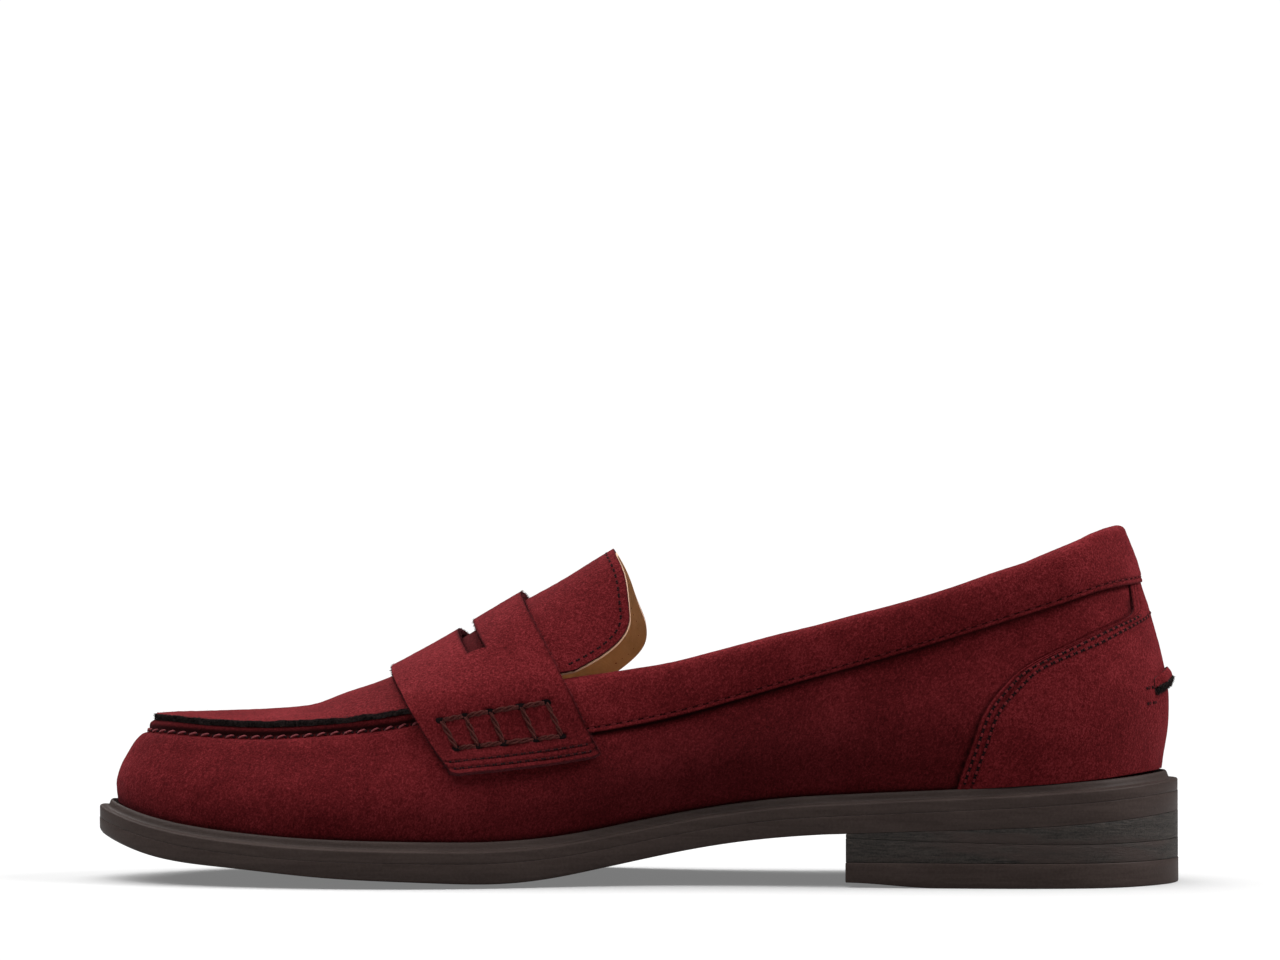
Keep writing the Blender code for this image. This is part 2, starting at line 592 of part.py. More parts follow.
def build_collar(home):
    """Folded strip over a foam roll, all round the mouth from behind the strap."""
    path = [(FOLD_WIDTH, 0.5), (9.5, 0.9), (6.0, 1.2), (3.0, 0.9), (1.0, 0.1), (0.2, -1.3),
            (1.2, -2.7), (3.4, -3.3), (6.2, -3.6)]
    down = np.array([p[0] for p in path])[:, None]
    out = np.array([p[1] for p in path])[:, None]
    start_down = np.where(out > -1.3, down, 0.0)
    inner = collar_start(start_down, True) - outline.count
    outer = collar_start(start_down, False)
    share = np.linspace(0, 1, 49)
    t = inner * (1 - share) + outer * share
    points = collar_place(t, down, out)
    sheet("collar_band", points, 1.0, "suede", home)

    roll = [(9.0, 0.1), (6.0, 0.6), (3.4, 0.3), (2.0, -0.7), (2.4, -1.9), (4.0, -2.5), (9.0, -2.4)]
    knots = np.linspace(knot_of_x(-3.0, 0.8, True) - outline.count,
                        knot_of_x(-3.0, 0.8, False), 40)
    sections = [collar_place(knots, np.full(40, d), np.full(40, n)) for d, n in roll]
    bar_loft("collar_foam", np.stack(sections, 1), "foam", home)


# ---------------------------------------------------------------------- apron, strap and tongue
def edge_of_strap(q, start, drop):
    """x of a straight strap edge seen from the side: it moves back by drop for each mm it falls."""
    x0, z0 = start
    x = np.full(np.shape(q), x0, float)
    for _ in range(40):
        x = 0.5 * x + 0.5 * (x0 + drop * (z0 - skin(x, q)[..., 2]))
    return x


def strap_edges(q):
    front = edge_of_strap(q, (STRAP_FRONT, float(ridge(STRAP_FRONT))), FRONT_DROP)
    rear = edge_of_strap(q, (STRAP_REAR, float(ridge(STRAP_REAR))), REAR_DROP)
    return front, rear


def strap_lift(q):
    """Height of the strap's inner face: over the apron in the middle, down on the wall outside."""
    over_apron = 0.5 + PLUG_SUEDE + 2 * LAYER_GAP
    over_apron = over_apron + SEAM_BUMP * np.exp(-((np.abs(q) - 1.04) / 0.1) ** 2)
    return over_apron + (LAYER_GAP - over_apron) * smoothstep(np.abs(q), 1.09, 1.34)


def strap_grid(q, across, lift):
    """Points over the strap: q round the instep, across from its front edge (0) to its rear (1)."""
    q_all, across_all = np.meshgrid(q, across, indexing="ij")
    front, rear = strap_edges(q)
    past_seam = np.clip(np.abs(q_all) - 1, 0, 1) / (STRAP_HALF_GIRTH - 1)
    q_all = q_all - np.sign(q_all) * past_seam * STRAP_END_RISE * across_all
    x = front[:, None] * (1 - across_all) + rear[:, None] * across_all
    return at_depth(skin, x, q_all, -(strap_lift(q_all) + lift))


def build_strap(home):
    half = np.array([0.16, 0.33, 0.50, 0.66, 0.80, 0.92, 1.04, 1.12, 1.20, 1.28, 1.37,
                     STRAP_HALF_GIRTH])
    q = np.concatenate([-half[::-1], [0], half])
    across = np.array([0, 0.16, 0.32, 0.49, 0.61, 0.73, 0.86, 1.0])
    slot = {(row, 3) for row in range(9, 15)}
    sheet("saddle_strap", strap_grid(q, across, 0.0), STRAP_SUEDE, "suede", home, skip=slot)

    rail, rung = 0.028, 0.017
    rows = np.array([1.138, 1.138 + rail, 1.325, 1.325 + rail])
    posts = 0.15 + 0.17 * np.arange(5)
    columns = np.sort(np.concatenate([posts - rung, posts + rung]))
    windows = {(1, column) for column in range(1, 9, 2)}
    for side, name in ((-1, "strap_lacing_medial"), (1, "strap_lacing_lateral")):
        points = strap_grid(np.sort(side * rows), columns, STRAP_SUEDE + SOLE_GAP)
        sheet(name, points, 1.1, "thread", home, skip=windows)


def instep_layer(name, x, w, depth, thickness, finish, home, origin=(0, 0, 0)):
    """A layer of the instep on the grid x (rows by columns) and w, inner face at depth + thickness."""
    points = at_depth(instep, x, w, np.full(np.shape(x), depth + thickness))
    return sheet(name, points, thickness, finish, home, origin=origin)


def build_instep(home):
    """Apron and its lining, the fixed root of the tongue, and the moving tongue with its lining."""
    lift = -(0.5 + PLUG_SUEDE)
    tip = float(wall(TOE_KNOT, 1.0)[0])
    run = np.array([0.4, 1.5, 3.5, 6.5, 11, 17, 25, 33, 39, 44, 49, 55, 62, 70])
    w = np.linspace(-1.03, 1.03, 13)
    x_all, w_all = np.meshgrid(tip + run, w)
    instep_layer("apron", x_all, w_all, lift, PLUG_SUEDE, "suede", home)
    w = np.linspace(-0.88, 0.88, 9)
    x_all, w_all = np.meshgrid(np.linspace(tip + 6, -44, 12), w)
    instep_layer("apron_lining", x_all, w_all, 0.5, LINING, "tan_lining", home)

    w = np.concatenate([[-0.955, -0.91, -0.85], np.linspace(-0.73, 0.73, 11), [0.82, 0.89, 0.955]])
    fold = strap_edges(w)[1]
    share = np.linspace(0, 1, 6)[None, :]
    root_end = fold - 1.6 - 2.4 * np.abs(w) ** 2
    start = tip + 70.6
    instep_layer("tongue_root", start * (1 - share) + root_end[:, None] * share,
                 np.repeat(w[:, None], 6, 1), lift, PLUG_SUEDE, "suede", home)
    free_start = fold - 1.0
    free_end = smooth_curve(TONGUE_END)(w)
    share = np.linspace(0, 1, 7)[None, :]
    x_all = free_start[:, None] * (1 - share) + free_end[:, None] * share
    w_all = np.repeat(w[:, None], 7, 1)
    instep_layer("tongue", x_all, w_all, lift, PLUG_SUEDE, "suede", home, TONGUE_AXIS)
    instep_layer("tongue_lining", x_all - 0.4, w_all * 0.985, -0.1, LINING, "tan_lining", home,
                 TONGUE_AXIS)


def build_seam_thread(home):
    """Waxed thread lying round the toe under the edge of the apron, a curve with a round section."""
    outer, inner = side_knots(-64.0, 0.9)
    knots = stretch(outer, inner)
    points = at_depth(wall, knots, np.full(knots.shape, 0.86), np.full(knots.shape, -0.9))
    curve = bpy.data.curves.new("moc_seam_thread", "CURVE")
    curve.dimensions = "3D"
    curve.bevel_depth = 0.45 * MM
    curve.bevel_resolution = 1
    curve.use_fill_caps = True
    line = curve.splines.new("POLY")
    line.points.add(len(points) - 1)
    for place, point in zip(line.points, points):
        place.co = (*(point * MM), 1)
    curve.materials.append(material("moc_seam_thread", "thread"))
    made = bpy.data.objects.new("moc_seam_thread", curve)
    made.location = -CENTRE * MM
    home.objects.link(made)


def main():
    for old in list(bpy.data.objects):
        bpy.data.objects.remove(old, do_unlink=True)
    home = bpy.data.collections.new("penny_loafer")
    cutters = bpy.data.collections.new("cutters")
    for made in (home, cutters):
        bpy.context.scene.collection.children.link(made)
    outsole, filler, board = build_sole(home)
    build_shank(home, cutters, filler)
    build_heel(home, cutters, (outsole, filler, board))
    build_wall(home)
    build_counter_cover(home)
    build_heel_tab(home)
    build_collar(home)
    build_strap(home)
    build_instep(home)
    build_seam_thread(home)
    for cutter in cutters.objects:
        cutter.hide_render = True
        cutter.display_type = "WIRE"


main()
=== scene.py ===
"""Looks of a suede penny loafer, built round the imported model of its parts.

Frame: metres, toe towards -X, heel towards +X, inner side of the foot towards -Y, +Z up.
Sizes in the classes are in millimetres and are turned into metres when a mesh is made.
Every visible layer is a surface of the last that the parts were cut from, with a slightly finer
top edge: the wall round the shoe (t runs round the outline, v up the wall) and the instep between
the wall's two top edges.
"""

import logging
import math
from dataclasses import dataclass
from enum import Enum
from typing import Callable, List, Optional, Sequence, Tuple

import bmesh
import bpy
import numpy as np
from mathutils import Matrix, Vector


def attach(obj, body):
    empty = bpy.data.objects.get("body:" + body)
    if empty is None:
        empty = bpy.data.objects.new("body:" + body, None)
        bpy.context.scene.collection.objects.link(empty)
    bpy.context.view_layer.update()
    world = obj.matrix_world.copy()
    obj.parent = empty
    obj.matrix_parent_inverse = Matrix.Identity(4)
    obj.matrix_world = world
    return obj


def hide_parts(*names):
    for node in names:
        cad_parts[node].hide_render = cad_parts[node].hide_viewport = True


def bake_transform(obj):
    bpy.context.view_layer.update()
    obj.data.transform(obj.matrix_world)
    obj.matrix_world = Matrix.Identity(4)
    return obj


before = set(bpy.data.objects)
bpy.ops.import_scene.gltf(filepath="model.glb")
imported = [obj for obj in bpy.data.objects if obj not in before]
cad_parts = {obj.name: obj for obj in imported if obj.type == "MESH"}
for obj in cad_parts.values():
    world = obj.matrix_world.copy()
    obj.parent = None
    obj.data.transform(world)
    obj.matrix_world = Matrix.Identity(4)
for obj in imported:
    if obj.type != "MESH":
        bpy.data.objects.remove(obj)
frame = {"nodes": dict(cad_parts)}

Array = np.ndarray
Pairs = Sequence[Tuple[float, float]]
Triple = Tuple[float, float, float]
Piece, Material, Socket = bpy.types.Object, bpy.types.Material, bpy.types.NodeSocket
MM = 0.001
CENTRE = np.array([-0.65, 1.58, 0.0])   # middle of the shoe's box, in the last's own coordinates
log = logging.getLogger("penny_loafer")


# ------------------------------------------------------------------------------ curves and noise
class Profile:
    """Natural cubic through (x, value) points, level outside its ends."""

    def __init__(self, points: Pairs) -> None:
        """Solve for the second derivatives at the points.

        Args:
            points: (x, value) pairs with x rising.
        """
        self.knots, self.values = np.array(points, float).T
        step = np.diff(self.knots)
        count = len(self.knots)
        matrix, right = np.eye(count), np.zeros(count)
        inside = np.arange(1, count - 1)
        matrix[inside, inside - 1] = step[:-1]
        matrix[inside, inside] = 2 * (step[:-1] + step[1:])
        matrix[inside, inside + 1] = step[1:]
        slope = np.diff(self.values) / step
        right[inside] = 6 * np.diff(slope)
        self.bend = np.linalg.solve(matrix, right)
        self.step = step

    def __call__(self, x: Array) -> Array:
        """Value of the cubic at x."""
        x = np.clip(np.asarray(x, float), self.knots[0], self.knots[-1])
        i = np.clip(np.searchsorted(self.knots, x, side="right") - 1, 0, len(self.step) - 1)
        h, a, b = self.step[i], self.knots[i + 1] - x, x - self.knots[i]
        return ((self.bend[i] * a ** 3 + self.bend[i + 1] * b ** 3) / (6 * h)
                + (self.values[i] / h - self.bend[i] * h / 6) * a
                + (self.values[i + 1] / h - self.bend[i + 1] * h / 6) * b)


class Outline:
    """Closed cubic through plan points, one unit of t for each stretch between two points."""

    def __init__(self, points: Pairs) -> None:
        """Solve the periodic cubic.

        Args:
            points: plan points in order round the sole.
        """
        self.points = np.array(points, float)
        self.count = len(points)
        eye = np.eye(self.count)
        matrix = 4 * eye + np.roll(eye, 1, 0) + np.roll(eye, -1, 0)
        before, after = np.roll(self.points, 1, 0), np.roll(self.points, -1, 0)
        self.bend = np.linalg.solve(matrix, 6 * (after - 2 * self.points + before))

    def _stretch(self, t: Array) -> Tuple[Array, Array, Array]:
        """Index of the stretch that t is on, of the next one, and the share along it."""
        t = np.mod(np.asarray(t, float), self.count)
        i = np.minimum(t.astype(int), self.count - 1)
        return i, (i + 1) % self.count, (t - i)[..., None]

    def at(self, t: Array) -> Array:
        """Plan point at t."""
        i, j, b = self._stretch(t)
        a = 1 - b
        return (self.points[i] * a + self.points[j] * b
                + self.bend[i] * (a ** 3 - a) / 6 + self.bend[j] * (b ** 3 - b) / 6)

    def normal(self, t: Array) -> Array:
        """Unit normal in plan at t, pointing away from the shoe."""
        i, j, b = self._stretch(t)
        a = 1 - b
        along = (self.points[j] - self.points[i]
                 - self.bend[i] * (3 * a ** 2 - 1) / 6 + self.bend[j] * (3 * b ** 2 - 1) / 6)
        along /= np.linalg.norm(along, axis=-1, keepdims=True)
        return np.stack([along[..., 1], -along[..., 0]], -1)


def smoothstep(x: Array, low: float, high: float) -> Array:
    """Smooth rise from 0 at low to 1 at high."""
    s = np.clip((np.asarray(x, float) - low) / (high - low), 0, 1)
    return s * s * (3 - 2 * s)


def bump_at(x: Array, centre: Array, width: float) -> Array:
    """Bell curve: the exponential of minus the squared distance to centre over width."""
    return np.exp(-((np.asarray(x, float) - centre) / width) ** 2)


def ripple(points: Array, wavelength: float, seed: int, waves: int = 14) -> Array:
    """Smooth irregular relief: a sum of sine waves in seeded directions and wavelengths.

    Args:
        points: positions in millimetres, xyz last.
        wavelength: middle wavelength in millimetres.
        seed: seed of the directions and phases.
        waves: how many sines are added.

    Returns:
        Values of about -1 to 1, one for each point.
    """
    draw = np.random.default_rng(seed)
    direction = draw.normal(size=(waves, 3))
    direction /= np.linalg.norm(direction, axis=1, keepdims=True)
    length = wavelength * np.exp(draw.uniform(-0.5, 0.5, waves))
    phase = draw.uniform(0, 2 * math.pi, waves)
    angle = points @ (direction / length[:, None] * 2 * math.pi).T + phase
    return np.sin(angle).sum(-1) / math.sqrt(waves)


# --------------------------------------------------------------------------------- the last
@dataclass
class Last:
    """The shape that every layer lies on: the parts' own numbers, the top edge a little refined."""

    upper_inset: float = 4.6
    heel_skive: float = 1.3
    wall_foot: float = 0.75
    lean_power: float = 2.25
    swell_norm: float = 45.6
    toe_knot: int = 15
    outline_points: Pairs = (
        (135.3, 1), (130, 18), (118, 28.5), (100, 33), (75, 34.5), (50, 35), (20, 37), (0, 41),
        (-20, 46), (-40, 49), (-60, 48.5), (-80, 45), (-100, 37.5), (-117, 26), (-130, 11.5),
        (-136.6, -4), (-131.5, -19), (-119, -31), (-102, -39), (-82, -44.5), (-58, -46),
        (-34, -41.5), (-10, -33), (15, -28), (45, -29.5), (75, -32), (100, -32), (118, -27.5),
        (130, -15.5))
    sole_edge_points: Pairs = (
        (-136, 18.6), (-124, 15.2), (-100, 11.4), (-76, 9.8), (-50, 9.2), (-30, 9.3), (-15, 10.8),
        (0, 13.6), (14, 16.3), (28, 18.5), (40, 19.8), (54, 20.7), (85, 22.3), (110, 23.8),
        (136, 26.0))
    sole_bottom_points: Pairs = (
        (-136, 13.0), (-121, 8.0), (-99, 5.0), (-76, 2.8), (-50, 1.6), (-35, 1.3), (-20, 2.4),
        (-3, 5.4), (13, 8.7), (32, 11.6), (53, 13.2), (80, 14.3), (107, 15.5), (136, 18.1))
    top_points: Pairs = (
        (-136, 40.3), (-127, 39.9), (-112, 39.25), (-99, 39.0), (-88, 39.4), (-78, 40.1),
        (-66, 41.4), (-57, 42.6), (-45, 44.8), (-30, 47.6), (-17, 49.6), (-4, 51.8), (11, 54.9),
        (35, 61.3), (54, 66.2), (74, 71.8), (94, 78.2), (107, 82.4), (121, 86.2), (136, 88.4))
    band_points: Pairs = ((-20, 13.1), (10, 12.9), (37, 12.2), (62, 11.6), (88, 11.7),
                          (107, 12.3), (136, 13.2))
    dip_points: Pairs = ((-136, 0), (-60, 0), (-20, 2.0), (10, 3.4), (50, 3.4), (90, 1.6),
                         (112, 0.2), (136, 0))
    ridge_points: Pairs = ((-124, 38.8), (-120, 39.4), (-107, 40.2), (-88, 41.1), (-80, 42.6),
                           (-75, 44.6), (-66, 47.8), (-55, 53.0), (-28.5, 68.5), (-17, 75.2),
                           (-7, 81.3), (2, 86.4))
    lean_inner_points: Pairs = (
        (-136, 9), (-115, 12), (-85, 14), (-60, 13), (-40, 10), (-17, 6), (0, 3.5), (20, 2),
        (50, 2), (80, 4), (105, 5.5), (136, 8.5))
    lean_outer_points: Pairs = (
        (-136, 9), (-115, 12), (-85, 14), (-60, 16), (-40, 17), (-17, 15), (0, 11.5), (20, 9),
        (50, 7), (80, 6), (105, 6), (136, 8.5))
    swell_inner_points: Pairs = ((-136, 0.8), (-80, 1.4), (-40, 2.5), (-10, 4), (20, 4.5),
                                 (50, 3.6), (90, 2.8), (136, 2.4))
    swell_outer_points: Pairs = ((-136, 0.8), (-80, 1.4), (-40, 1.6), (20, 2.4), (50, 3),
                                 (90, 2.8), (136, 2.4))

    def __post_init__(self) -> None:
        """Make the cubics, and a table of t against x along the wall's top edge for each side."""
        self.outline = Outline(self.outline_points)
        self.sole_edge = Profile(self.sole_edge_points)
        self.sole_bottom = Profile(self.sole_bottom_points)
        self.top = Profile(self.top_points)
        self.band = Profile(self.band_points)
        self.dip = Profile(self.dip_points)
        self.ridge = Profile(self.ridge_points)
        self.lean = Profile(self.lean_inner_points), Profile(self.lean_outer_points)
        self.swell = Profile(self.swell_inner_points), Profile(self.swell_outer_points)
        self.table = {}
        for inner in (True, False):
            t = np.linspace(self.toe_knot - 0.2, self.outline.count if inner else 0.0, 6000)
            self.table[inner] = np.maximum.accumulate(self.wall(t, 1.0)[..., 0]), t

    def wall(self, t: Array, v: Array) -> Array:
        """Outer face of the upper's wall.

        The plan outline is pushed in by the inset and by the lean times v to a power, and out by a
        swell proportional to v^2 (1 - v)^4; the height runs from the sole (v = 0) to the top edge.
        """
        t, v = np.broadcast_arrays(np.asarray(t, float), np.asarray(v, float))
        plan, normal = self.outline.at(t), self.outline.normal(t)
        x = plan[..., 0]
        outer = smoothstep(normal[..., 1], -0.9, 0.9)
        top = self.top(x) - outer * self.dip(x)
        base = self.sole_edge(x) + self.wall_foot
        lean = self.lean[0](x) * (1 - outer) + self.lean[1](x) * outer
        swell = self.swell[0](x) * (1 - outer) + self.swell[1](x) * outer
        up = np.clip(v, 0, None)
        push = -self.upper_inset - self.heel_skive * smoothstep(x, 95, 134)
        push = push + swell * self.swell_norm * up ** 2 * (1 - up) ** 4 - lean * up ** self.lean_power
        height = base + (top - base) * v
        return np.concatenate([plan + normal * push[..., None], height[..., None]], -1)

    def plan_x(self, t: Array) -> Array:
        """x of the plan outline at t."""
        return self.outline.at(t)[..., 0]

    def tip(self) -> float:
        """x of the wall's top edge at the toe."""
        return float(self.wall(self.toe_knot, 1.0)[0])

    def wall_height(self, t: Array) -> Array:
        """Height of the wall from v = 0 to v = 1, in millimetres."""
        return (self.wall(t, 1.0) - self.wall(t, 0.0))[..., 2]

    def knot(self, x: Array, v: Array, inner: bool) -> Array:
        """The t at which the wall, at height v, passes x on one side, by halving the interval."""
        x, v = np.broadcast_arrays(np.asarray(x, float), np.asarray(v, float))
        low = np.full(x.shape, self.toe_knot - 0.2)
        high = np.full(x.shape, float(self.outline.count) if inner else 0.0)
        for _ in range(24):
            middle = (low + high) / 2
            short = self.wall(middle, v)[..., 0] < x
            low, high = np.where(short, middle, low), np.where(short, high, middle)
        return (low + high) / 2

    def top_knot(self, x: Array, inner: bool) -> Array:
        """The t at which the wall's top edge passes x, from the table."""
        known, t = self.table[inner]
        return np.interp(x, known, t)

    def instep(self, x: Array, w: Array) -> Array:
        """Arch between the two top edges: a straight line across plus the ridge times 1 - w^2."""
        x, w = np.broadcast_arrays(np.asarray(x, float), np.asarray(w, float))
        inner = self.wall(self.top_knot(x, True), 1.0)
        outer = self.wall(self.top_knot(x, False), 1.0)
        share = ((w + 1) / 2)[..., None]
        point = inner * (1 - share) + outer * share
        middle = (inner[..., 2] + outer[..., 2]) / 2
        point[..., 2] += np.maximum(self.ridge(x) - middle, 0) * (1 - w ** 2)
        return point

    def skin(self, x: Array, q: Array) -> Array:
        """Instep where |q| < 1; beyond, the wall, down to the sole at |q| = 2."""
        x, q = np.broadcast_arrays(np.asarray(x, float), np.asarray(q, float))
        height = np.clip(2 - np.abs(q), 0, 1)
        inner = self.wall(self.knot(x, height, True), height)
        outer = self.wall(self.knot(x, height, False), height)
        side = np.where((q < 0)[..., None], inner, outer)
        return np.where((np.abs(q) <= 1)[..., None], self.instep(x, np.clip(q, -1, 1)), side)


def unit(vectors: Array) -> Array:
    """Vectors brought to length 1."""
    return vectors / np.linalg.norm(vectors, axis=-1, keepdims=True)


def inset_line(face: Array, normal: Array, inset: float, sample: int,
               least: float) -> Tuple[Array, Array]:
    """A line on a grid, at a perpendicular distance from its first column.

    Args:
        face: the grid, rows along the line.
        normal: its normals.
        inset: millimetres from the first column.
        sample: column that tells which way the rows lean from the edge.
        least: least squared sine of the angle between rows and edge.

    Returns:
        A point and a normal for each row.
    """
    away = np.linalg.norm(np.diff(face, axis=1, prepend=face[:, :1]), axis=-1).cumsum(1)
    lean = (unit(face[:, sample] - face[:, 0]) * unit(np.gradient(face[:, 0], axis=0))).sum(1)
    reach = inset / np.sqrt(np.clip(1 - lean ** 2, least, 1))
    index = np.array([np.interp(value, row, np.arange(len(row))) for value, row in zip(reach, away)])
    low = np.clip(index.astype(int), 0, face.shape[1] - 2)
    part = (index - low)[:, None]
    each = np.arange(len(face))
    return face[each, low] * (1 - part) + face[each, low + 1] * part, normal[each, low]


def normals_of(points: Array) -> Array:
    """Unit normals of a grid: the cross product of its steps along columns and along rows."""
    along = np.gradient(points, axis=1)
    up = np.gradient(points, axis=0)
    normal = np.cross(along, up)
    return normal / np.maximum(np.linalg.norm(normal, axis=-1, keepdims=True), 1e-9)


def raised(points: Array, height: Array) -> Array:
    """A grid moved out along its own normals by height, a number or one for each point."""
    height = np.broadcast_to(np.asarray(height, float), points.shape[:-1])
    return points + normals_of(points) * height[..., None]


# ------------------------------------------------------------------------------ mesh helpers
def grid_quads(rows: int, columns: int, wrap: bool = False, keep: Optional[Array] = None) -> Array:
    """Quads of a rows by columns grid.

    Args:
        rows: points along the first axis.
        columns: points along the second axis.
        wrap: join the last column to the first.
        keep: which cells get a quad, rows - 1 by the number of cells across.

    Returns:
        Four point numbers for each quad.
    """
    i, j = np.meshgrid(np.arange(rows - 1), np.arange(columns if wrap else columns - 1),
                       indexing="ij")
    k = (j + 1) % columns
    quads = np.stack([i * columns + j, i * columns + k, (i + 1) * columns + k,
                      (i + 1) * columns + j], -1)
    return quads[keep] if keep is not None else quads.reshape(-1, 4)


def in_scene(name: str, data: bpy.types.ID) -> Piece:
    """A new object round its data, linked into the scene."""
    made = bpy.data.objects.new(name, data)
    bpy.context.scene.collection.objects.link(made)
    return made


def link_mesh(name: str, vertices: Array, faces: Sequence, dress: Sequence[Material],
              close: bool = False, uv: Optional[Array] = None) -> Piece:
    """A piece from points in millimetres.

    Args:
        name: the piece's name.
        vertices: points, xyz last.
        faces: point numbers of each face.
        dress: its materials in slot order.
        close: merge the doubles and turn the faces outwards.
        uv: two numbers for each point, for patterns that follow the surface.

    Returns:
        The new object.
    """
    mesh = bpy.data.meshes.new(name)
    flat = ((np.asarray(vertices, float).reshape(-1, 3) - CENTRE) * MM).tolist()
    mesh.from_pydata(flat, [], faces.tolist() if isinstance(faces, np.ndarray) else faces)
    if uv is not None:
        layer = mesh.uv_layers.new(name="run")
        corner = np.zeros(len(mesh.loops), np.int32)
        mesh.loops.foreach_get("vertex_index", corner)
        layer.data.foreach_set("uv", np.asarray(uv, float).reshape(-1, 2)[corner].ravel())
    if close:
        work = bmesh.new()
        work.from_mesh(mesh)
        bmesh.ops.remove_doubles(work, verts=work.verts, dist=1e-6)
        bmesh.ops.dissolve_degenerate(work, edges=work.edges, dist=1e-7)
        bmesh.ops.recalc_face_normals(work, faces=work.faces)
        work.to_mesh(mesh)
        work.free()
    mesh.shade_smooth()
    for material in dress:
        mesh.materials.append(material)
    return in_scene(name, mesh)


def thicken(piece: Piece, thickness: float, rim_slot: int = 0,
            round_edge: float = 0.0) -> Piece:
    """Give a sheet its thickness inwards, with an optional rounded and differently dressed rim.

    Args:
        piece: a sheet on a layer's outer face.
        thickness: millimetres, inwards.
        rim_slot: material slot of the cut edge.
        round_edge: millimetres by which the edges of the cut are rounded.

    Returns:
        The same piece.
    """
    solid = piece.modifiers.new("thickness", "SOLIDIFY")
    solid.thickness = thickness * MM
    solid.offset = -1.0
    solid.material_offset_rim = rim_slot
    if round_edge:
        bevel = piece.modifiers.new("soft_edge", "BEVEL")
        bevel.width = round_edge * MM
        bevel.segments = 2
        bevel.limit_method = "ANGLE"
        bevel.angle_limit = math.radians(55)
        bevel.use_clamp_overlap = True
        bevel.harden_normals = False
    return piece


def sheet_piece(name: str, outer: Array, thickness: float, dress: Sequence[Material],
                rim_slot: int = 0, round_edge: float = 0.0, keep: Optional[Array] = None,
                uv: Optional[Array] = None) -> Piece:
    """A sheet on a grid of its outer face, rows up and columns along, thickened inwards."""
    rows, columns = outer.shape[:2]
    quads = grid_quads(rows, columns, keep=keep)
    used, faces = np.unique(quads, return_inverse=True)
    picked = None if uv is None else np.asarray(uv).reshape(-1, 2)[used]
    made = link_mesh(name, outer.reshape(-1, 3)[used], faces.reshape(-1, 4), dress, uv=picked)
    return thicken(made, thickness, rim_slot, round_edge)


def set_piece(piece: Piece, slot: str, *nodes: str, body: str = "root") -> Piece:
    """Ride a piece on a body, and let it stand for parts of the model."""
    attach(piece, body)
    if nodes:
        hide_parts(*nodes)
    log.info("%s: %d faces", piece.name, len(piece.data.polygons))
    return piece


